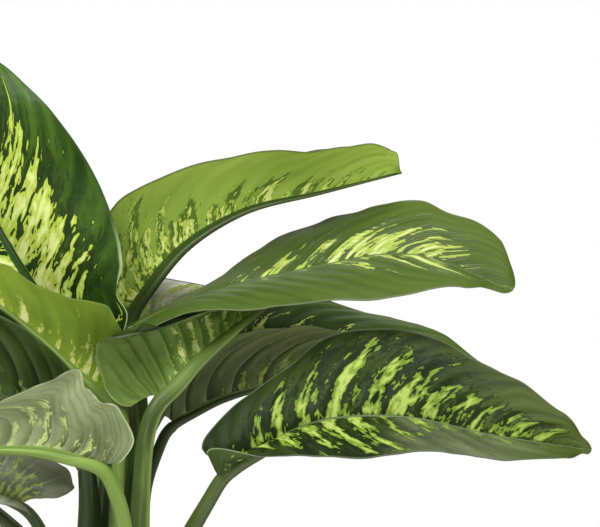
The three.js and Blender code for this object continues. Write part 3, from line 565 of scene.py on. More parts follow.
# Leaves, in mm, as in the frame's source.
# cane, from: where the stalk starts; thick: its radius at foot and top; stalk, rib: points on the way;
# left, right: points of the margin at the four stations; wave: the margin's ripple, mm, waves and start;
# halfWidth, face, raised: for a leaf without such points, where its face looks, degrees that halves rise;
# veins: side veins to a half; quilt: mm of the bulges; finish: of the upper face, underside and stalk;
# rollRight: mm of the right margin that roll up, and up to where on the way;
# sunny: from and to where round the stalk a strip of painted light runs, and how much
leaves = {
    "leaf_tall": {
        "cane": "left", "from": 268, "thick": (5.5, 4.5), "wave": (3, 2.2, 0.4),
        "stalk": [(-2, 8, 300), (4, 12, 345), (-1, 6, 388)],
        "rib": [(-18, 2, 445), (-62, 8, 506), (-99, 22, 574), (-128, 42, 648), (-150, 62, 726)],
        "left": [(-69, 12, 454), (-145, 10, 501), (-179, 28, 592), (-172, 54, 686)],
        "right": [(10, -14, 472), (6, -14, 539), (-49, 6, 624), (-119, 44, 685)],
        "veins": 15, "quilt": 1.3, "finish": ("tallUpper", "lightUnder", "stalkDark"), "lean": (0.14, 0.18),
        "lobes": (6, 10), "paintedSheen": (-1, 0.15, 1, 0.06), "faint": 0.025, "rollRight": (5, 0.2),
        "trimRight": [(0.03, 2), (0.08, 1), (0.14, -7), (0.21, 0), (0.41, -2), (0.52, 0), (0.68, 0),
                      (0.8, -4)],
    },
    "leaf_curled": {
        "cane": "left", "from": 262, "thick": (5, 4.5), "wave": (2, 1.4, 1), "firm": 1,
        "stalk": [(7, -26, 299), (10, -30, 341), (11, -32, 372)],
        "rib": [(15, -27, 403), (-14, -34, 427), (-39, -42, 451), (-69, -48, 475), (-110, -50, 496)],
        "left": [(15, -22, 437), (2, -42, 477), (-39, -54, 487), (-81, -54, 512)],
        "right": [(-2, -14, 429), (-29, -20, 467), (-57, -24, 482), (-96, -34, 501)],
        "veins": 12, "quilt": 0.3, "finish": ("tallUpper", "curledUnder", "stalkLight"),
        "streaks": (13, 0.45, 3.4), "trimLeft": [(0.1, 0), (0.22, -3), (0.33, 0), (0.45, -1), (0.6, 0)],
        "slot": "leaf_light",
    },
    "leaf_upper": {
        "cane": "back", "from": 270, "thick": (6, 4.5), "wave": (3, 2.4, 2),
        "stalk": [(10, 29, 300), (14, 26, 351), (13, 30, 408)],
        "rib": [(13, 30, 464), (49, 30, 511), (96, 30, 541), (152, 32, 555), (209, 34, 569)],
        "left": [(2, 56, 501), (52, 72, 557), (131, 66, 585), (188, 52, 584)],
        "right": [(-6, 12, 517), (38, 6, 564), (125, 4, 585), (191, 18, 589)],
        "veins": 14, "quilt": 0.4, "finish": ("darkUpper", "lightUnder", "stalkMid"),
        "faint": -0.04, "lean": (0.1, 0.12), "crowding": 1, "ribTaper": 0.45, "lobes": (5, 48), "lobeRound": 1,
        "trimLeft": [(0.5, 0), (0.68, -3), (0.8, -3), (0.9, 0)],
        "trimRight": [(0.3, 2), (0.52, -1), (0.61, 1), (0.71, -4.5), (0.8, -5), (0.89, 4.5), (0.95, 2),
                      (0.975, 5)],
        "slot": "leaf_light",
    },
    "leaf_long": {
        "cane": "right", "from": 262, "thick": (5.5, 4.5), "wave": (3.5, 2.6, 0),
        "stalk": [(14, -6, 300), (17, -9, 354), (21, -9, 401)],
        "rib": [(12, -12, 458), (71, 4, 484), (141, 12, 501), (214, 6, 511), (285, -18, 486)],
        "left": [(31, 22, 466), (86, 44, 498), (165, 48, 539), (264, 22, 538)],
        "right": [(37, -26, 461), (92, -38, 473), (171, -42, 479), (249, -40, 486)],
        "veins": 17, "quilt": 0.5, "pleat": 0, "finish": ("longUpper", "lightUnder", "stalkGreen"),
        "lean": (0.16, 0.12), "lobes": (4, 18),
        "trimLeft": [(0.12, -2), (0.32, 4), (0.42, 4), (0.52, 11), (0.6, 6), (0.68, -2), (0.73, -5),
                     (0.79, -5), (0.83, -8), (0.9, 2), (0.95, 0)],
        "trimRight": [(0.2, 0), (0.32, -5), (0.42, -3), (0.55, 0), (0.8, 3), (0.9, 2), (0.95, -10)],
    },
    "leaf_quilted": {
        "cane": "right", "from": 276, "thick": (7.5, 6), "wave": (1.5, 1.6, 0), "firm": -1,
        "stalk": [(25, -22, 299), (26, -26, 341), (29, -27, 384)],
        "rib": [(38, -25, 410), (58, -13, 434), (84, 8, 456), (110, 32, 474), (144, 66, 498)],
        "left": [(24, 6, 448), (48, 46, 472), (78, 64, 486), (122, 80, 500)],
        "right": [(1, -44, 416), (-3, -52, 449), (32, -36, 457), (109, 44, 490)],
        "veins": 10, "quilt": 4.6, "finish": ("darkUpper", "quiltedUnder", "stalkGreen"), "columns": 34,
        "ribTaper": 1.1, "sunny": (0.4, 0.64, 0.75), "faint": -0.05, "lean": (0.26, 0.26),
        "trimRight": [(0.02, -11), (0.11, -5), (0.22, -2), (0.33, -1), (0.5, 6), (0.61, 6), (0.7, 2),
                      (0.85, -9)],
    },
    "leaf_behind": {
        "cane": "back", "from": 258, "thick": (6, 4.5), "wave": (3, 2.4, 1),
        "stalk": [(22, 39, 296), (24, 42, 351), (24, 50, 400)],
        "rib": [(22, 58, 450), (82, 72, 454), (147, 80, 453), (216, 84, 439), (285, 80, 417)],
        "left": [(34, 78, 496), (110, 112, 484), (200, 120, 466), (268, 100, 435)],
        "right": [(37, 44, 434), (101, 62, 427), (172, 66, 421), (251, 66, 412)],
        "veins": 15, "quilt": 0.8, "finish": ("behindUpper", "oliveUnder", "stalkGreen"),
        "lobes": (24, 8), "faint": -0.04, "paintedSheen": (1, -0.2, 0.27, 1.5),
        "trimLeft": [(0.08, 0), (0.2, -5), (0.3, 0), (0.5, 1.5), (0.61, 4), (0.7, 2), (0.8, 0)],
    },
    "leaf_olive": {
        "cane": "right", "from": 250, "thick": (4.4, 4), "wave": (1.5, 2, 0),
        "stalk": [(27, 4, 296), (27, 10, 345), (36, 18, 371)],
        "rib": [(44, 26, 390), (76, 28, 407), (114, 32, 418), (154, 40, 426), (197, 50, 429)],
        "left": [(55, 40, 401), (88, 47, 430), (135, 50, 441), (177, 56, 438)],
        "right": [(38, 10, 414), (75, 14, 450), (135, 14, 460), (181, 36, 449)],
        "veins": 8, "quilt": 4.2, "finish": ("darkUpper", "oliveUnder", "stalkDark"), "ribTaper": 0.45,
        "columns": 34, "faint": -0.03, "lean": (0.04, 0.3),
    },
    "leaf_broad": {
        "cane": "right", "from": 236, "thick": (6, 5), "wave": (2, 2.2, 1),
        "stalk": [(37, -27, 272), (61, -36, 319), (76, -42, 345)],
        "rib": [(87, -46, 363), (143, -54, 395), (206, -62, 400), (267, -72, 388), (334, -84, 378)],
        "left": [(72, -34, 394), (164, -26, 456), (248, -40, 443), (316, -66, 406)],
        "right": [(89, -72, 372), (160, -100, 374), (237, -118, 377), (305, -110, 372)],
        "veins": 16, "quilt": 0.9, "finish": ("darkUpper", "foldUnder", "stalkMid"),
        "lobes": (0, 9), "lean": (0.05, 0.1), "rollRight": (22, 0.24), "paintedSheen": (-1, 0.5, 0.85, 0.2),
        "trimLeft": [(0.02, -8), (0.06, -5), (0.12, -6), (0.16, -8), (0.22, -8), (0.31, 0), (0.6, 1),
                     (0.8, 2.5), (0.9, 1.5), (0.96, -4)],
        "trimRight": [(0.02, -8), (0.12, -5), (0.22, -3), (0.31, -3), (0.42, 1), (0.6, 0), (0.8, -2),
                      (0.88, -1), (0.94, -4), (0.975, -8)],
    },
    "leaf_pale": {
        "cane": "right", "from": 252, "thick": (6, 5), "wave": (2.5, 1.8, 0), "firm": 1,
        "stalk": [(18, -40, 294), (16, -58, 329), (10, -76, 352)],
        "rib": [(3, -88, 367), (-30, -96, 378), (-68, -102, 380), (-108, -106, 374), (-150, -106, 355)],
        "left": [(23, -92, 389), (-13, -104, 434), (-76, -114, 411), (-130, -112, 388)],
        "right": [(9, -80, 385), (-34, -78, 404), (-88, -82, 395), (-137, -92, 374)],
        "veins": 13, "quilt": 2.6, "finish": ("darkUpper", "paleUnder", "stalkLight"), "columns": 40,
        "crowding": 0.72, "streaks": (13, 0.8, 3), "faint": -0.095, "lean": (-0.28, 0.6), "pleat": 0.7,
        "calm": 0.3, "seat": 1.3, "evens": 0.6, "lobes": (5, 0), "slot": "leaf_light",
        "trimLeft": [(0.03, -13), (0.08, -2), (0.15, -4), (0.21, -13), (0.27, -11), (0.33, 1), (0.42, -6),
                     (0.52, -7), (0.7, -5)],
        "trimRight": [(0.02, -18), (0.06, -22), (0.12, -14), (0.22, 0)],
    },
    "leaf_shaded": {
        "cane": "left", "from": 250, "thick": (5.5, 4.5), "wave": (2, 2, 0),
        "stalk": [(-15, -29, 290), (-11, -42, 331), (-11, -50, 362)],
        "rib": [(-16, -54, 384), (-43, -57, 403), (-76, -60, 416), (-115, -62, 423), (-157, -62, 417)],
        "left": [(-11, -56, 411), (-27, -62, 440), (-71, -72, 470), (-124, -70, 453)],
        "right": [(-21, -42, 397), (-56, -36, 422), (-97, -38, 437), (-141, -48, 434)],
        "veins": 9, "quilt": 3.2, "finish": ("darkUpper", "shadedUnder", "stalkDark"), "columns": 30,
        "faint": -0.1, "lean": (0.05, 0.3),
    },
    "leaf_low": {
        "cane": "left", "from": 232, "thick": (5, 4), "wave": (2, 2, 0),
        "stalk": [(-28, -23, 271), (-36, -43, 307), (-40, -54, 320)],
        "rib": [(-51, -58, 338), (-77, -66, 351), (-109, -74, 357), (-145, -80, 354), (-178, -84, 341)],
        "left": [(-56, -88, 340), (-83, -108, 343), (-117, -116, 333), (-159, -104, 334)],
        "right": [(-18, -38, 359), (-78, -34, 383), (-118, -42, 384), (-165, -64, 364)],
        "veins": 12, "quilt": 0.8, "finish": ("greyUpper", "oliveUnder", "stalkDark"), "lean": (0.0, 0.05),
        "trimRight": [(0.02, -24), (0.06, -9), (0.12, 0), (0.25, 2)],
    },
    "leaf_left": {
        "cane": "left", "from": 240, "thick": (6, 4.5), "wave": (3, 2.2, 0),
        "stalk": [(-37, -4, 286), (-60, -8, 318), (-118, -14, 362)],
        "rib": [(-165, -16, 395), (-215, -18, 425), (-265, -20, 440), (-315, -24, 438), (-360, -30, 415)],
        "halfWidth": 62, "face": (0.1, -0.25, 1), "raised": 18,
        "veins": 14, "quilt": 0.8, "finish": ("darkUpper", "lightUnder", "stalkGreen"),
    },
    "leaf_left_back": {
        "cane": "back", "from": 255, "thick": (6, 4.5), "wave": (3, 2, 1),
        "stalk": [(-7, 44, 300), (-5, 64, 360), (-20, 100, 420)],
        "rib": [(-95, 125, 455), (-130, 150, 490), (-170, 172, 505), (-212, 192, 500), (-250, 210, 478)],
        "halfWidth": 60, "face": (0.1, -0.2, 1), "raised": 16,
        "veins": 14, "quilt": 0.8, "finish": ("tallUpper", "lightUnder", "stalkGreen"),
    },
    "leaf_back_high": {
        "cane": "left", "from": 276, "thick": (5.5, 4), "wave": (2, 2, 2),
        "stalk": [(-13, -8, 302), (-6, -10, 324), (-12, -2, 362), (-26, 34, 434)],
        "rib": [(-35, 75, 505), (-65, 92, 560), (-98, 115, 605), (-132, 142, 635), (-165, 172, 650)],
        "halfWidth": 48, "face": (0.5, -0.4, 0.8), "raised": 22,
        "veins": 13, "quilt": 0.6, "finish": ("tallUpper", "lightUnder", "stalkDark"),
    },
    "leaf_back_right": {
        "cane": "back", "from": 240, "thick": (6, 4.5), "wave": (3, 2.4, 0),
        "stalk": [(9, 56, 290), (16, 76, 350), (32, 102, 396)],
        "rib": [(62, 130, 425), (85, 165, 445), (112, 205, 450), (140, 245, 440), (168, 285, 418)],
        "halfWidth": 56, "face": (0, -0.15, 1), "raised": 14,
        "veins": 14, "quilt": 0.8, "finish": ("darkUpper", "lightUnder", "stalkGreen"),
    },
    "leaf_front_low": {
        "cane": "left", "from": 214, "thick": (5, 4), "wave": (2, 2, 0),
        "stalk": [(-34, -34, 252), (-55, -62, 280), (-78, -90, 294)],
        "rib": [(-95, -110, 300), (-130, -150, 312), (-165, -190, 308), (-198, -228, 288), (-225, -262, 255)],
        "halfWidth": 50, "face": (0.1, 0.1, 1), "raised": 15,
        "veins": 13, "quilt": 0.8, "finish": ("darkUpper", "oliveUnder", "stalkGreen"),
    },
    "leaf_back_low": {
        "cane": "left", "from": 204, "thick": (5, 4), "wave": (2, 2, 1),
        "stalk": [(-44, 8, 244), (-80, 40, 282), (-118, 78, 318)],
        "rib": [(-140, 104, 345), (-185, 130, 358), (-232, 154, 355), (-275, 174, 335), (-312, 190, 305)],
        "halfWidth": 54, "face": (0.1, -0.1, 1), "raised": 15,
        "veins": 13, "quilt": 0.8, "finish": ("darkUpper", "oliveUnder", "stalkGreen"),
    },
    "leaf_back": {
        "cane": "back", "from": 212, "thick": (5, 4), "wave": (2, 2, 0),
        "stalk": [(4, 66, 244), (0, 100, 262), (-6, 130, 268)],
        "rib": [(-12, 150, 272), (-22, 195, 282), (-34, 240, 277), (-46, 282, 257), (-58, 320, 228)],
        "halfWidth": 50, "face": (0, -0.1, 1), "raised": 8,
        "veins": 13, "quilt": 0.8, "finish": ("darkUpper", "oliveUnder", "stalkGreen"),
    },
    "leaf_right_low": {
        "cane": "right", "from": 206, "thick": (5, 4), "wave": (2, 2, 1),
        "stalk": [(50, -12, 244), (80, 2, 266), (102, 12, 272)],
        "rib": [(122, 20, 276), (168, 34, 286), (214, 46, 280), (256, 56, 260), (292, 64, 230)],
        "halfWidth": 52, "face": (0, -0.15, 1), "raised": 12,
        "veins": 13, "quilt": 0.8, "finish": ("darkUpper", "oliveUnder", "stalkGreen"),
    },
}
ribSpans = 4  # a rib has five points
# What all blades share
blade = {
    "rows": 180, "first": 0.02, "last": 0.9985,  # mesh steps along the rib, and where they start and end
    "stations": (0.08, 0.33, 0.63, 0.9),  # where on the way the margin's points stand
    "heldFrom": 0.04, "heldUntil": 0.95,  # outside these the margin keeps its direction
    "thick": 0.8, "marginThick": 0.5,  # mm
    "arch": 0.07,  # how far each half bows up, as a share of its width
    "opensUnder": 24, "looseOpensUnder": 30,  # mm of width under which a half opens out flat
    "leastHalf": 0.1,  # share of a half that trimming leaves at the least
    "lobeEnds": 0.2,
    "sharp": 0.16, "sharpFrom": 0.78,  # how much the blade draws in before its tip, and from where
    # unevenness of the margin in its plane, and in mm out of it, with the noise that draws each
    "wobble": 0.025, "wobbleNoise": (11, 5, 0), "flutter": 1.6, "flutterNoise": (8, 9, 7),
    "rollShare": 0.3, "rollRadius": 2.2, "rollTurn": 2.15,  # a margin that rolls up over the upper face
    "channel": 0.9, "channelWide": 0.28,  # over the rib, mm deep and cm wide
    "crinkle": 0.5, "crinkleFine": 0.9,  # mm, per cm
    "seedStep": 3.7, "otherHalf": 40,  # how far apart the noises of two leaves and of two halves are drawn
    # soft ends of the painted grey sheen and of a stalk's strip of painted light, and the share of that painted
    # light that goes all round the midrib
    "paintedSheenSoft": 0.1, "paintedLightSoft": 0.03, "paintedLightRib": 0.5,
}
# A half that is covered or turned away
coveredStreaks = [(0.1, 0.4, 4), (0.25, 0.5, 4), (0.4, 0.5, 4), (0.55, 0.4, 4), (0.7, 0.3, 3)]
# Pale streaks given one by one, left and right half: where on the rib, how far across, mm wide
handStreaks = {
    "leaf_behind": (
        [(-0.05, 1.2, 8), (0.0, 1.2, 7), (0.05, 1.1, 7), (0.1, 1.15, 6), (0.15, 1.1, 6), (0.2, 0.9, 5),
         (0.34, 0.42, 4), (0.44, 0.4, 4), (0.55, 0.36, 4), (0.7, 0.3, 3)],
        coveredStreaks),
    "leaf_olive": (
        coveredStreaks,
        [(0.1, -0.3, 2), (0.2, -0.3, 2), (0.3, 0.1, 2), (0.38, 0.35, 2.4), (0.46, 0.45, 3.4), (0.54, 0.5, 4),
         (0.63, 0.45, 4), (0.73, 0.4, 3)]),
    "leaf_quilted": (
        coveredStreaks,
        [(0.06, -0.3, 2), (0.12, 0.1, 2), (0.17, 0.35, 1.8), (0.245, 0.7, 2), (0.33, 0.95, 2.4),
         (0.42, 0.95, 2.6), (0.51, 0.9, 2.4), (0.6, 0.8, 2.4), (0.7, 0.7, 2.4), (0.8, 0.5, 2.4)]),
    "leaf_upper": (
        [(0.1, 0.4, 4), (0.2, 0.4, 4), (0.32, 0.4, 4), (0.45, 0.4, 4), (0.6, 0.3, 4), (0.75, 0.3, 3)],
        [(0.03, 0.9, 4), (0.07, 0.75, 5), (0.12, 0.8, 4), (0.16, 0.5, 6), (0.22, 0.62, 4), (0.26, 0.34, 5),
         (0.31, 0.5, 7), (0.39, 0.26, 4), (0.44, 0.46, 7), (0.5, 0.22, 3), (0.56, 0.42, 6), (0.63, 0.2, 3),
         (0.68, 0.36, 6), (0.75, 0.22, 3), (0.8, 0.3, 4), (0.88, 0.14, 3)]),
    "leaf_low": (
        [(0.1, 0.5, 3), (0.2, 0.6, 4), (0.32, 0.6, 4), (0.44, 0.5, 4), (0.56, 0.4, 3), (0.7, 0.3, 3)],
        [(0.0, 0.6, 1.2), (0.035, 0.7, 1.2), (0.07, 0.6, 1.2), (0.105, 0.66, 1.4), (0.14, 0.6, 1.4),
         (0.175, 0.7, 1.4), (0.22, 0.6, 1.8), (0.3, 0.6, 3), (0.4, 0.6, 4), (0.52, 0.5, 4), (0.66, 0.4, 3)]),
    "leaf_broad": (
        [(0.05, 0.4, 3), (0.1, 0.62, 4), (0.15, 0.7, 4), (0.23, 0.76, 4.4), (0.315, 0.86, 6.6),
         (0.41, 0.72, 6), (0.485, 0.74, 6.8), (0.565, 0.6, 6), (0.63, 0.56, 5), (0.69, 0.44, 4.4),
         (0.75, 0.42, 4), (0.81, 0.5, 3), (0.87, 0.4, 2.4)],
        [(0.05, 0.5, 3), (0.1, 0.7, 4), (0.16, 0.95, 4), (0.23, 0.95, 5), (0.3, 1.0, 5), (0.37, 0.95, 5),
         (0.45, 0.75, 5), (0.53, 0.55, 4), (0.62, 0.4, 3.4), (0.7, 0.34, 3), (0.78, 0.3, 2.4)]),
    "leaf_long": (
        [(0.1, -0.3, 2), (0.25, -0.3, 2), (0.41, 0.5, 6), (0.35, 0.3, 2.6), (0.49, 0.5, 4), (0.55, 0.7, 3.4),
         (0.6, 0.44, 6), (0.65, 0.6, 6), (0.7, 0.5, 7), (0.76, 0.36, 6), (0.81, 0.26, 5), (0.86, 0.24, 3)],
        [(0.1, -0.3, 2), (0.3, -0.3, 2), (0.4, 0.16, 3), (0.48, 0.14, 3), (0.57, 0.42, 5), (0.63, 0.14, 3),
         (0.67, 0.55, 5), (0.75, 0.5, 4), (0.8, 0.3, 3)]),
    "leaf_tall": (
        [(0.08, 0.5, 6), (0.16, 0.6, 7), (0.25, 0.7, 8), (0.34, 0.7, 8), (0.43, 0.65, 8), (0.52, 0.6, 7),
         (0.61, 0.5, 6), (0.7, 0.4, 5)],
        [(0.045, 0.74, 3), (0.08, 0.8, 4), (0.12, 0.66, 7), (0.17, 0.66, 10), (0.24, 0.74, 11),
         (0.31, 0.66, 10), (0.38, 0.72, 10), (0.46, 0.62, 9), (0.54, 0.56, 8), (0.62, 0.5, 6),
         (0.7, 0.4, 5), (0.79, 0.3, 4)]),
}
streakForm = {
    "ground": -0.21, "gain": 0.345, "beyond": -0.2,  # how far spots off, on and past a streak are favoured
    "wideFoot": 1.35, "narrowing": 0.65, "strongFoot": 1.12, "weakening": 0.24,  # from the rib to its end
    "endFrom": 0.16, "endTo": 0.08, "beyondOver": 0.25,
    # drawn by chance on the other leaves
    "first": (0.03, 0.08), "last": 0.86, "reaches": (0.6, 1.25), "widths": (0.5, 1.3), "gaps": (0.6, 1.4),
}
stalkForm = {
    "sides": 26, "stalkSteps": 44, "ribSteps": 60,
    "easing": 30,  # rounds of smoothing where the stalk meets the blade
    "tipRadius": 0.5, "ribSunk": 0.25,  # mm
    "flare": 0.22,  # how much wider the foot is
    "groove": 0.34, "grooveWide": 30, "ribGroove": 0.3,  # share of the radius, degrees, share left on the rib
    "wing": 0.26, "wingAt": 48, "wingWide": 13,  # the sheath's two edges
    "sheathFrom": 0.35, "sheathEnds": 0.75, "bareGroove": 0.25,
}


def smooth(x, low, high):
    share = min(max((x - low) / (high - low), 0), 1)
    return share * share * (3 - 2 * share)


def within(x, since, until, soft):
    # 1 from since to until, with soft ends
    return smooth(x, since - soft, since + soft) * (1 - smooth(x, until - soft, until + soft))


def squareOn(vector, tangent):
    return (vector - tangent * vector.dot(tangent)).normalized()


def lengthOf(points):
    return sum((end - start).length for start, end in zip(points, points[1:]))


def along(points, x):
    # a curve through all points; x counts the spans between them
    last = len(points) - 1
    i = min(max(math.floor(x), 0), last - 1)
    t = x - i
    b, c = points[i], points[i + 1]
    a = points[i - 1] if i > 0 else 2 * b - c
    d = points[i + 2] if i + 2 <= last else 2 * points[last] - points[last - 1]
    return 0.5 * (2 * b + (c - a) * t + (2 * a - 5 * b + 4 * c - d) * t * t + (3 * b - a - 3 * c + d) * t ** 3)



def centripetal(points, share):
    # an even curve through all points but the last, which only steers its end
    x = share * (len(points) - 2)
    i = min(int(x), len(points) - 3)
    b, c, d = points[i], points[i + 1], points[i + 2]
    a = points[i - 1] if i > 0 else 2 * b - c
    knots = [0.0]
    for start, end in ((a, b), (b, c), (c, d)):
        knots.append(knots[-1] + (end - start).length ** 0.5)
    at = knots[1] + (x - i) * (knots[2] - knots[1])

    def blended(low, high, start, end):
        return start.lerp(end, (at - knots[low]) / (knots[high] - knots[low]))

    ab, bc, cd = blended(0, 1, a, b), blended(1, 2, b, c), blended(2, 3, c, d)
    return blended(1, 2, blended(0, 2, ab, bc), blended(1, 3, bc, cd))


def outline(t):
    # half the blade's width from foot to tip, as a share of the widest
    return 2.0145 * t ** 0.38 * (1 - t) ** 0.7


def ribAt(rib, t):
    # the rib's point, and its direction there
    onRib = along(rib, t * ribSpans)
    return onRib, (along(rib, t * ribSpans + 0.02) - onRib).normalized()


def throughStations(vectors, t):
    # a curve through the ways out at the four stations
    x = min(max(t, blade["heldFrom"]), blade["heldUntil"])
    total = Vector()
    for i, vector in enumerate(vectors):
        weight = 1
        for j, station in enumerate(blade["stations"]):
            if j != i:
                weight *= (x - station) / (blade["stations"][i] - station)
        total += vector * weight
    return total


def halfVectors(leaf, rib, side):
    # the way from the rib to the margin at each station, stretched to the blade's widest
    given = leaf.get("left" if side > 0 else "right")
    found = []
    for i, t in enumerate(blade["stations"]):
        onRib, tangent = ribAt(rib, t)
        if given:
            found.append((Vector(given[i]) - onRib) / outline(t))
            continue
        sideways = Vector(leaf["face"]).normalized().cross(tangent).normalized() * side
        upwards = (tangent.cross(sideways) * side).normalized()
        lift = math.radians(leaf["raised"])
        found.append(leaf["halfWidth"] * (math.cos(lift) * sideways + math.sin(lift) * upwards))
    return found


def streaksOf(name, leaf, draw, ribLength):
    if name in handStreaks:
        return handStreaks[name]
    apart, reach, width = leaf["streaks"]
    halves = []
    for _ in range(2):
        found = []
        start = draw.uniform(*streakForm["first"])
        while start < streakForm["last"]:
            share = math.sin(math.pi * min(start + 0.12, 1)) ** 0.6
            reaches = reach * share * draw.uniform(*streakForm["reaches"])
            found.append((start, reaches, width * draw.uniform(*streakForm["widths"])))
            start += apart / ribLength * draw.uniform(*streakForm["gaps"])
        halves.append(found)
    return halves


def paleness(streaks, origin, a, ribLength):
    # how far a pale streak is favoured at a share of the way out, on the side vein from origin
    form = streakForm
    best = 0
    nearest = min(streaks, key=lambda streak: abs(origin - streak[0]))
    for start, reach, width in streaks:
        gone = min(a / max(reach, 0.01), 1)
        off = (origin - start) * ribLength / (width * (form["wideFoot"] - form["narrowing"] * gone))
        if abs(off) < 3:
            strength = math.exp(-off * off) * (form["strongFoot"] - form["weakening"] * gone)
            best = max(best, strength * (1 - smooth(a, reach - form["endFrom"], reach + form["endTo"])))
    past = smooth(a, nearest[1], nearest[1] + form["beyondOver"])
    return form["ground"] + form["gain"] * best + form["beyond"] * past


# how much painted grey sheen a point on one half gets, between two places on the way
def paintedSheenAt(leaf, t, across):
    side, since, until, most = leaf["paintedSheen"]
    return most * within(t, since, until, blade["paintedSheenSoft"]) if across * side > 0 else 0


# painted light down one side of a stalk; on the midrib a share of it goes all round
def paintedLightAt(leaf, share, turn):
    if "sunny" not in leaf:
        return 0
    since, until, most = leaf["sunny"]
    strip = within(turn, since, until, blade["paintedLightSoft"])
    return most * max(strip, blade["paintedLightRib"] * smooth(share, 0.9, 1.3))


def trimAt(leaf, side, t):
    # mm that the margin is let out or taken in, between the stations given
    stops = [(0, 0), *leaf[side], (1, 0)]
    for (start, low), (end, high) in zip(stops, stops[1:]):
        if t <= end:
            return low + (high - low) * smooth(t, start, end)
    return 0


def section(leaf, rib, halves, t):
    # the rib's point and direction, the ways out to the left and right margin, and the upper side
    onRib, tangent = ribAt(rib, t)
    left, right = (throughStations(half, t) * outline(t) for half in halves)
    left *= max(1 + trimAt(leaf, "trimLeft", t) / max(left.length, 1), blade["leastHalf"])
    right *= max(1 + trimAt(leaf, "trimRight", t) / max(right.length, 1), blade["leastHalf"])
    level = (squareOn(left, tangent) - squareOn(right, tangent)).normalized()
    firm = leaf["firm"]

    def opened(vector, side, other):
        if firm == side:
            return vector
        fold = smooth(vector.length, 0, blade["looseOpensUnder" if firm else "opensUnder"])
        flat = -squareOn(other, tangent) if firm else level * side
        return flat.lerp(vector.normalized(), fold).normalized() * vector.length

    left, right = opened(left, 1, right), opened(right, -1, left)
    upper = tangent.cross(squareOn(left, tangent) - squareOn(right, tangent)).normalized()
    return onRib, tangent, left, right, upper


def rolledStrip(leaf, side, t, a):
    # the share of the way out on the flat blade, and mm of the margin's strip rolled up beyond it
    if side > 0 or "rollRight" not in leaf:
        return a, 0
    widest, until = leaf["rollRight"]
    kept = 1 - smooth(t, blade["first"], until)
    hinge = 1 - blade["rollShare"] * kept
    strip = widest * kept * max(a - hinge, 0) / blade["rollShare"]
    return min(a / hinge, 1), strip


def bladeSurface(leaf, place, t, across):
    # the surface's point before quilting, and its mm from the rib
    onRib, tangent, left, right, _ = place
    side = -1 if across < 0 else 1
    a, strip = rolledStrip(leaf, side, t, abs(across))
    out = left if side > 0 else right
    backward = tangent * out.dot(tangent)
    sideways = out - backward
    up = (tangent.cross(sideways) * side).normalized()
    height, count, start = leaf["wave"]
    ripple = height * a * a * math.sin(math.pi * t) * math.sin(2 * math.pi * count * t + start + side)
    arch = blade["arch"] * out.length * 4 * a * (1 - a)

    def uneven(fine, apart, shift):
        spot = Vector((t * fine, side * apart, leaf["seed"] + shift))
        return noise.noise(spot) * math.sin(math.pi * t) ** 0.5

    wobble = blade["wobble"] * uneven(*blade["wobbleNoise"])
    flutter = blade["flutter"] * (uneven(*blade["flutterNoise"]) * a ** 3)
    width = 1 + wobble - blade["sharp"] * math.sin(math.pi * smooth(t, blade["sharpFrom"], 1))
    backed = leaf["lobes"][0 if side > 0 else 1] * a ** leaf["lobeRound"]
    backed *= 1 - smooth(t, blade["first"], blade["lobeEnds"])
    point = onRib + (sideways * a + backward * a * a) * width - tangent * backed
    if strip:
        bent = min(strip / blade["rollRadius"], blade["rollTurn"])
        straight = strip - bent * blade["rollRadius"]
        point += sideways.normalized() * (blade["rollRadius"] * math.sin(bent) + straight * math.cos(bent))
        point += up * (blade["rollRadius"] * (1 - math.cos(bent)) + straight * math.sin(bent))
    return point + up * (arch + ripple + flutter), a * out.length


def leafLayers(bm):
    return [bm.verts.layers.float_vector[label] for label in leafAttributes]


def layBlade(bm, leaf, rib, halves, streaks):
    # the upper face as one thin sheet that carries the attributes
    mapLayer, placeLayer, paleAndSheenLayer = leafLayers(bm)
    rows, ribLength = blade["rows"], lengthOf(rib)
    nearer, further = leaf["lean"]
    places = []
    for row in range(rows + 1):
        even = row / rows
        eased = (even + (1 - math.cos(math.pi * even)) / 2) / 2
        t = blade["first"] + (blade["last"] - blade["first"]) * eased
        places.append((t, section(leaf, rib, halves, t)))
    for vert in bmesh.ops.create_grid(bm, x_segments=2 * leaf["columns"], y_segments=rows, size=1)["verts"]:
        t, place = places[round((vert.co.y + 1) / 2 * rows)]
        across = -vert.co.x
        a = abs(across)
        point, fromRib = bladeSurface(leaf, place, t, across)
        vert.co = point * mm
        origin = t - (nearer * a + further * a * a) * (0.6 + 0.8 * t)  # where this side vein leaves the rib
        seed = leaf["seed"] + (0 if across < 0 else blade["otherHalf"])
        vert[mapLayer] = (origin * ribLength / 10, fromRib / 10, seed)
        crowded = math.copysign(abs(origin) ** leaf["crowding"], origin)
        vert[placeLayer] = (t, a, crowded * leaf["veins"] + (0.5 if across > 0 else 0))
        pale = paleness(streaks[0 if across > 0 else 1], origin, a, ribLength) + leaf["faint"]
        # how far a pale streak is favoured, and how much painted grey sheen this point gets
        vert[paleAndSheenLayer] = (pale, paintedSheenAt(leaf, t, across), 0)


def bulgeFade(leaf, t, a):
    # the bulges die away at the rib, the margin, the foot and the tip
    fade = smooth(a, 0.02, 0.25) * (1 - 0.7 * smooth(a, leaf["calm"], 1))
    fade *= smooth(t, 0, 0.06) * (1 - smooth(t, 0.9, 1))
    return fade * (1 - leaf["evens"] * smooth(t, 0.25, 0.6))


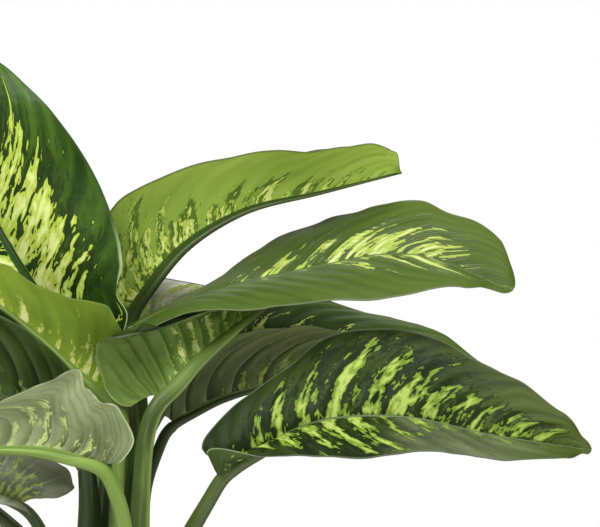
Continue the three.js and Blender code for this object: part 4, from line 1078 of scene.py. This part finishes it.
def quiltBlade(bm, leaf):
    # raises the bulges between the side veins and sinks a channel over the rib
    mapLayer, placeLayer, _ = leafLayers(bm)
    for face in bm.faces:
        face.normal_update()
    for vert in bm.verts:
        vert.normal_update()
    for vert in bm.verts:
        alongRib, outFromRib, _ = vert[mapLayer]
        t, a, passed = vert[placeLayer]
        away = abs(math.sin(math.pi * passed))
        pleat = leaf["pleat"] * (2 * (passed % 1) - 1) * away
        fade = bulgeFade(leaf, t, a)
        puff = leaf["quilt"] * (away ** 0.85 - leaf["seat"] + pleat) * fade
        channel = -blade["channel"] * math.exp(-(outFromRib / blade["channelWide"]) ** 2) * (1 - t)
        spot = Vector((alongRib, outFromRib, leaf["seed"])) * blade["crinkleFine"]
        crinkle = blade["crinkle"] * fade * noise.noise(spot)
        vert.co += vert.normal * (puff + channel + crinkle) * mm


def thickenBlade(bm):
    # the underside: a copy of the face, lowered along the normals that the sheet had before quilting
    placeLayer = leafLayers(bm)[1]
    lowered = {}
    for vert in bm.verts:
        thick = blade["thick"] + (blade["marginThick"] - blade["thick"]) * vert[placeLayer][1]
        lowered[vert.co.copy().freeze()] = vert.normal * thick * mm
    for item in bmesh.ops.extrude_face_region(bm, geom=bm.faces[:], use_keep_orig=True)["geom"]:
        if isinstance(item, bmesh.types.BMFace):
            item.material_index = 1
        elif isinstance(item, bmesh.types.BMVert):
            item.co -= lowered[item.co.copy().freeze()]


def rodCentres(leaf, route, rib, shares, stations, uppers):
    # the middle and the radius of each row, eased where the stalk runs on into the midrib
    form = stalkForm
    thickFoot, thickTop = leaf["thick"]
    centres, radii = [], []
    for share, t, upper in zip(shares, stations, uppers):
        if share < 1:
            radii.append(thickFoot + (thickTop - thickFoot) * share)
            centres.append(centripetal(route, share))
        else:
            radii.append(thickTop + (form["tipRadius"] - thickTop) * t ** leaf["ribTaper"])
            centres.append(along(rib, t * ribSpans) - upper * (radii[-1] - form["ribSunk"]) * smooth(t, 0, 0.1))
    for _ in range(form["easing"]):
        spans = zip(centres, centres[1:], centres[2:])
        eased = [(before + 2 * centre + after) / 4 for before, centre, after in spans]
        for row, (centre, share, t) in enumerate(zip(eased, shares[1:], stations[1:])):
            eases = smooth(share, 0.1, 0.5) * (1 - smooth(t, 0.15, 0.3))
            centres[row + 1] = centres[row + 1].lerp(centre, eases)
    return centres, radii


def rodRows(leaf, stalk, rib, halves):
    # for each row: centre, upper side, sideways, radius, share of the stalk, mm from the stalk's foot
    form = stalkForm
    steps = form["stalkSteps"] + form["ribSteps"]
    shares = [row / form["stalkSteps"] for row in range(steps + 1)]
    stations = [max(row - form["stalkSteps"], 0) / form["ribSteps"] * blade["last"] for row in range(steps + 1)]
    uppers = [section(leaf, rib, halves, max(t, blade["first"] / 2))[4] for t in stations]
    route = stalk + [rib[0], along(rib, 0.5)]
    centres, radii = rodCentres(leaf, route, rib, shares, stations, uppers)
    walked = 0.0
    rows = []
    for row, (centre, upper, share) in enumerate(zip(centres, uppers, shares)):
        if row:
            walked += (centre - centres[row - 1]).length
        tangent = (centres[min(row + 1, steps)] - centres[max(row - 1, 0)]).normalized()
        upper = squareOn(upper, tangent)
        flare = 1 + form["flare"] * (1 - smooth(share, 0.0, 0.22))
        rows.append((centre, upper, tangent.cross(upper).normalized(), radii[row] * flare, share, walked))
    return rows


def addRod(bm, leaf, stalk, rib, halves):
    # the stalk and, under the blade, the midrib that it runs on into
    form = stalkForm
    rows = rodRows(leaf, stalk, rib, halves)

    def place(row, turn):
        centre, upper, sideways, radius, share, walked = rows[row]
        angle = 2 * math.pi * turn
        fromTop = min(turn, 1 - turn) * 360
        sheath = 1 - smooth(share, form["sheathFrom"], form["sheathEnds"])
        groove = form["groove"] * (form["bareGroove"] + (1 - form["bareGroove"]) * sheath)
        groove *= math.exp(-(fromTop / form["grooveWide"]) ** 2)
        wing = form["wing"] * sheath * math.exp(-((fromTop - form["wingAt"]) / form["wingWide"]) ** 2)
        reach = radius * (1 - groove * (1 if share < 1 else form["ribGroove"]) + wing)
        point = centre + upper * math.cos(angle) * reach + sideways * math.sin(angle) * reach
        # painted light down one side of the stalk
        sunny = paintedLightAt(leaf, share, turn)
        return point, {"leafMap": (walked / 10, turn, leaf["seed"]), "leafPale": (0, 0, sunny)}

    addTube(bm, form["sides"], len(rows) - 1, place, slot=2)


def makeLeaf(number, name, leaf):
    leaf = {**usualLeaf, **leaf, "seed": number * blade["seedStep"]}
    cane = canes[leaf["cane"]]
    share = (leaf["from"] - caneFoot) / (cane["height"] - caneFoot)
    start = Vector((*Vector(cane["foot"]).lerp(Vector(cane["top"]), share), leaf["from"]))
    stalk = [start] + [Vector(point) for point in leaf["stalk"]]
    rib = [Vector(point) for point in leaf["rib"]]
    halves = (halfVectors(leaf, rib, 1), halfVectors(leaf, rib, -1))
    streaks = streaksOf(name, leaf, random.Random(number), lengthOf(rib))
    bm = bmesh.new()
    for label in leafAttributes:
        bm.verts.layers.float_vector.new(label)
    layBlade(bm, leaf, rib, halves, streaks)
    quiltBlade(bm, leaf)
    thickenBlade(bm)
    addRod(bm, leaf, stalk, rib, halves)
    closeEnds(bm)
    first, *rest = name.split("_")
    piece = addPiece(first + "".join(map(str.capitalize, rest)), bm, [finish(key) for key in leaf["finish"]])
    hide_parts(name)


for number, (name, leaf) in enumerate(leaves.items()):
    makeLeaf(number, name, leaf)
print("leaves made:", len(leaves))

# Pot, soil and canes, in mm as in the frame's source
pot = {
    "height": 180, "footRadius": 68, "rimRadius": 98, "wall": 7, "bandHeight": 34, "bandProud": 5,
    "edge": 2, "corner": 4, "round": 1.1,  # corners of the profile, and the radius that rounds them
    "turns": 144,
}


def innerRadius(height):
    atRim = pot["rimRadius"] - pot["wall"] - pot["edge"]
    atFoot = pot["footRadius"] - pot["wall"]
    return atFoot + (atRim - atFoot) * height / pot["height"]


def turned(bm, profile, rounding, steps):
    # spins a profile of radius and height about the upright axis
    verts = [bm.verts.new((radius * mm, 0, height * mm)) for radius, height in profile]
    for pair in zip(verts, verts[1:]):
        bm.edges.new(pair)
    if rounding:
        bmesh.ops.bevel(bm, geom=verts[1:-1], offset=rounding * mm, affect="VERTICES", segments=3,
                        profile=0.5, material=-1)
    bmesh.ops.spin(bm, geom=bm.verts[:] + bm.edges[:], cent=(0, 0, 0), axis=(0, 0, 1),
                   angle=2 * math.pi, steps=steps, use_merge=True)
    bmesh.ops.remove_doubles(bm, verts=bm.verts, dist=1e-6)
    bmesh.ops.recalc_face_normals(bm, faces=bm.faces)


def objectPlace(tree, scale=(1, 1, 1)):
    place = node(tree, "ShaderNodeTexCoord").outputs["Object"]
    mapping = node(tree, "ShaderNodeMapping")
    mapping.inputs["Scale"].default_value = scale
    tree.links.new(place, mapping.inputs["Vector"])
    return mapping.outputs[0]


def clayMaterial():
    material, tree, shader = newMaterial("potClay")
    clouds = grain(tree, objectPlace(tree), 13, 4, 0.6)
    sand = grain(tree, objectPlace(tree), 850, 2, 0.6)
    turning = grain(tree, objectPlace(tree, (4, 4, 420)), 1, 3, 0.6, 0.2)
    bloom = grain(tree, objectPlace(tree, (1, 1, 0.55)), 22, 5, 0.7, 0.6)
    colour = mixed(tree, ranged(tree, clouds, 0.3, 0.7), (0.33, 0.125, 0.06, 1), (0.5, 0.22, 0.115, 1))
    colour = mixed(tree, ranged(tree, sand, 0.52, 0.75, 0.0, 0.45), colour, (0.24, 0.085, 0.04, 1))
    colour = mixed(tree, ranged(tree, turning, 0.45, 0.8, 0.0, 0.3), colour, (0.58, 0.31, 0.19, 1))
    colour = mixed(tree, ranged(tree, bloom, 0.56, 0.78, 0.0, 0.5), colour, (0.62, 0.47, 0.37, 1))
    tree.links.new(colour, shader.inputs["Base Color"])
    tree.links.new(ranged(tree, clouds, 0.3, 0.7, 0.75, 0.92), shader.inputs["Roughness"])
    relief = maths(tree, "MULTIPLY_ADD", turning, 1.6, sand)
    bumped(tree, shader, relief, 0.4, 0.0005)
    return material


def makePot():
    height, wall, corner, edge = pot["height"], pot["wall"], pot["corner"], pot["edge"]
    bandFoot = height - pot["bandHeight"]
    bandRadius = innerRadius(bandFoot) + wall
    bm = bmesh.new()
    turned(bm, [
        (0, 0), (pot["footRadius"] - edge, 0), (pot["footRadius"], edge),
        (bandRadius, bandFoot), (bandRadius + pot["bandProud"], bandFoot + edge),
        (pot["rimRadius"] + edge, height - edge), (pot["rimRadius"], height),
        (innerRadius(height) + edge, height), (innerRadius(height), height - edge),
        (innerRadius(wall + corner), wall + corner), (innerRadius(wall) - corner, wall), (0, wall),
    ], pot["round"], pot["turns"])
    sharpenRims(bm)
    piece = addPiece("potTurned", bm, [clayMaterial()])
    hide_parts("pot")


soil = {
    "top": 158, "rise": 5, "clear": 0.3, "rings": 44, "turns": 150, "seed": 7,
    "lumps": 2.2, "lumpSize": 17, "lumpNoise": (0.7, 2.1, 4), "levelFrom": 0.93,  # level again at the pot
    # name: count, smallest and largest radius, flatness
    "bits": {"Crumb": (620, 1.2, 3.4, 0.8), "Chip": (110, 2.2, 5.0, 0.35), "Grit": (90, 0.9, 2.1, 0.85)},
    "bitsClear": 5, "bitSeat": 0.35,  # mm from the pot; how high a bit's middle lies, as a share of its height
    "bitLength": (0.7, 1.5), "bitWidth": (0.6, 1.1), "bitTilt": 0.5, "bitJitter": (0.75, 1.2),
}


def soilReach():
    return innerRadius(soil["top"]) - soil["clear"]


def soilHeight(x, y):
    share = min(math.hypot(x, y) / soilReach(), 1)
    dome = soil["top"] + soil["rise"] * math.cos(math.pi / 2 * share)
    lump = noise.fractal(Vector((x, y, 3)) / soil["lumpSize"], *soil["lumpNoise"]) * soil["lumps"]
    return dome + lump * (1 - smooth(share, soil["levelFrom"], 1))


def earthMaterial(name, dark, light, rough, scale):
    material, tree, shader = newMaterial(name)
    clods = grain(tree, objectPlace(tree), scale, 5, 0.7)
    fine = grain(tree, objectPlace(tree), scale * 9, 3, 0.7)
    colour = mixed(tree, ranged(tree, clods, 0.32, 0.7), (*dark, 1), (*light, 1))
    colour = mixed(tree, ranged(tree, fine, 0.4, 0.75, 0.0, 0.6), colour, (*dark, 1))
    tree.links.new(colour, shader.inputs["Base Color"])
    shader.inputs["Roughness"].default_value = rough
    bumped(tree, shader, maths(tree, "ADD", clods, fine), 0.8, 0.001)
    return material


def makeSoilBed(earth):
    wall, corner, clear = pot["wall"], pot["corner"], soil["clear"]
    profile = [(0, wall + clear), (innerRadius(wall) - corner - clear, wall + clear),
               (innerRadius(wall + corner) - clear, wall + corner + clear)]
    profile += [(soilReach() * (1 - ring / soil["rings"]), soil["top"]) for ring in range(soil["rings"] + 1)]
    bm = bmesh.new()
    turned(bm, profile, 0, soil["turns"])
    for vert in bm.verts:
        if vert.co.z > (soil["top"] - 1) * mm:
            vert.co.z = soilHeight(vert.co.x / mm, vert.co.y / mm) * mm
    piece = addPiece("soilBed", bm, [earth])
    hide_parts("soil")


def addBit(bm, draw, least, most, flat):
    reach = (soilReach() - soil["bitsClear"]) * math.sqrt(draw.random())
    angle = draw.uniform(0, 2 * math.pi)
    x, y = reach * math.cos(angle), reach * math.sin(angle)
    size = least + (most - least) * draw.random() ** 2
    verts = bmesh.ops.create_icosphere(bm, subdivisions=1, radius=size * mm)["verts"]
    stretch = Vector((draw.uniform(*soil["bitLength"]), draw.uniform(*soil["bitWidth"]), flat))
    tilt = soil["bitTilt"]
    turn = Euler((draw.uniform(-tilt, tilt), draw.uniform(-tilt, tilt), draw.uniform(0, math.pi))).to_matrix()
    centre = Vector((x, y, soilHeight(x, y) + size * flat * soil["bitSeat"])) * mm
    for vert in verts:
        jitter = Vector([draw.uniform(*soil["bitJitter"]) for _ in range(3)])
        vert.co = turn @ (vert.co * stretch * jitter) + centre


def makeSoil():
    earth = earthMaterial("soilPeat", (0.012, 0.008, 0.005), (0.06, 0.038, 0.022), 0.95, 130)
    makeSoilBed(earth)
    draw = random.Random(soil["seed"])
    finishesOf = {
        "Crumb": earth,
        "Chip": earthMaterial("barkChip", (0.035, 0.016, 0.008), (0.13, 0.07, 0.035), 0.8, 160),
        "Grit": earthMaterial("paleGrit", (0.5, 0.48, 0.44), (0.74, 0.73, 0.7), 0.9, 300),
    }
    for name, (count, least, most, flat) in soil["bits"].items():
        bm = bmesh.new()
        for _ in range(count):
            addBit(bm, draw, least, most, flat)
        bmesh.ops.recalc_face_normals(bm, faces=bm.faces)
        piece = addPiece("soil" + name + "s", bm, [finishesOf[name]], smoothShaded=False)


caneForm = {
    "sides": 40, "rows": 190,
    "firstRing": 12, "ringStep": 22, "ringTilt": 1.6,  # leaf scars: mm over the soil, apart and of slant
    "proud": 1.1, "scarWide": 1.1,  # a scar stands out,
    "dip": 0.5, "dipOver": 2.2, "dipWide": 1.2,  # with a dip over it
    "swell": 0.5, "swellUnder": 4, "swellWide": 5,  # and a swelling under it
    "thinner": 0.4, "rough": 0.3, "endTaper": 3,
    "stain": (16.2, 18.5),  # cm of height over which the earth's stain fades
}


def caneMaterial():
    # caneMap: height in cm, turn round the cane, nearness to a leaf scar
    material, tree, shader = newMaterial("caneBark")
    height, _, scar = attribute(tree, "caneMap")
    streak = grain(tree, objectPlace(tree, (260, 260, 22)), 1, 4, 0.65)
    clouds = grain(tree, objectPlace(tree), 45, 3, 0.6)
    colour = mixed(tree, ranged(tree, clouds, 0.3, 0.7), (0.075, 0.12, 0.03, 1), (0.17, 0.22, 0.065, 1))
    colour = mixed(tree, ranged(tree, streak, 0.45, 0.75, 0.0, 0.7), colour, (0.23, 0.22, 0.1, 1))
    colour = mixed(tree, maths(tree, "MULTIPLY", scar, 0.8), colour, (0.11, 0.075, 0.035, 1))
    colour = mixed(tree, ranged(tree, height, *caneForm["stain"], 0.7, 0.0), colour, (0.1, 0.07, 0.035, 1))
    tree.links.new(colour, shader.inputs["Base Color"])
    tree.links.new(ranged(tree, streak, 0.3, 0.7, 0.5, 0.68), shader.inputs["Roughness"])
    bumped(tree, shader, streak, 0.4, 0.0006)
    return material


def makeCane(name, cane, bark):
    form = caneForm
    bm = bmesh.new()
    bm.verts.layers.float_vector.new("caneMap")
    top, lift = cane["height"], form["ringStep"]
    seed = cane["radius"] * 3 + cane["foot"][0]

    def place(row, turn):
        z = caneFoot + (top - caneFoot) * row / form["rows"]
        centre = Vector(cane["foot"]).lerp(Vector(cane["top"]), row / form["rows"])
        angle = 2 * math.pi * turn
        tilt = form["ringTilt"] * math.sin(angle + seed)
        fromRing = (z + tilt - soil["top"] - form["firstRing"] + lift / 2) % lift - lift / 2
        scar = math.exp(-(fromRing / form["scarWide"]) ** 2) if z > soil["top"] else 0
        swell = math.exp(-((fromRing + form["swellUnder"]) / form["swellWide"]) ** 2) * form["swell"]
        spot = Vector((math.cos(angle) * 3, math.sin(angle) * 3, z / 9)) + Vector((seed, 0, 0))
        rough = form["rough"] * noise.noise(spot)
        radius = cane["radius"] - form["thinner"] + scar * form["proud"] + swell + rough
        radius -= form["dip"] * math.exp(-((fromRing - form["dipOver"]) / form["dipWide"]) ** 2)
        end = max(z - top + form["endTaper"], 0) / form["endTaper"]
        radius -= form["endTaper"] * (1 - math.sqrt(max(1 - end * end, 0)))
        point = Vector((centre.x + radius * math.cos(angle), centre.y + radius * math.sin(angle), z))
        return point, {"caneMap": (z / 10, turn, min(scar, 1))}

    addTube(bm, form["sides"], form["rows"], place)
    closeEnds(bm)
    piece = addPiece("caneStem" + name.capitalize(), bm, [bark])
    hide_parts("cane_" + name)


makePot()
makeSoil()
bark = caneMaterial()
for name, cane in canes.items():
    makeCane(name, cane, bark)
print("pot, soil and canes made")
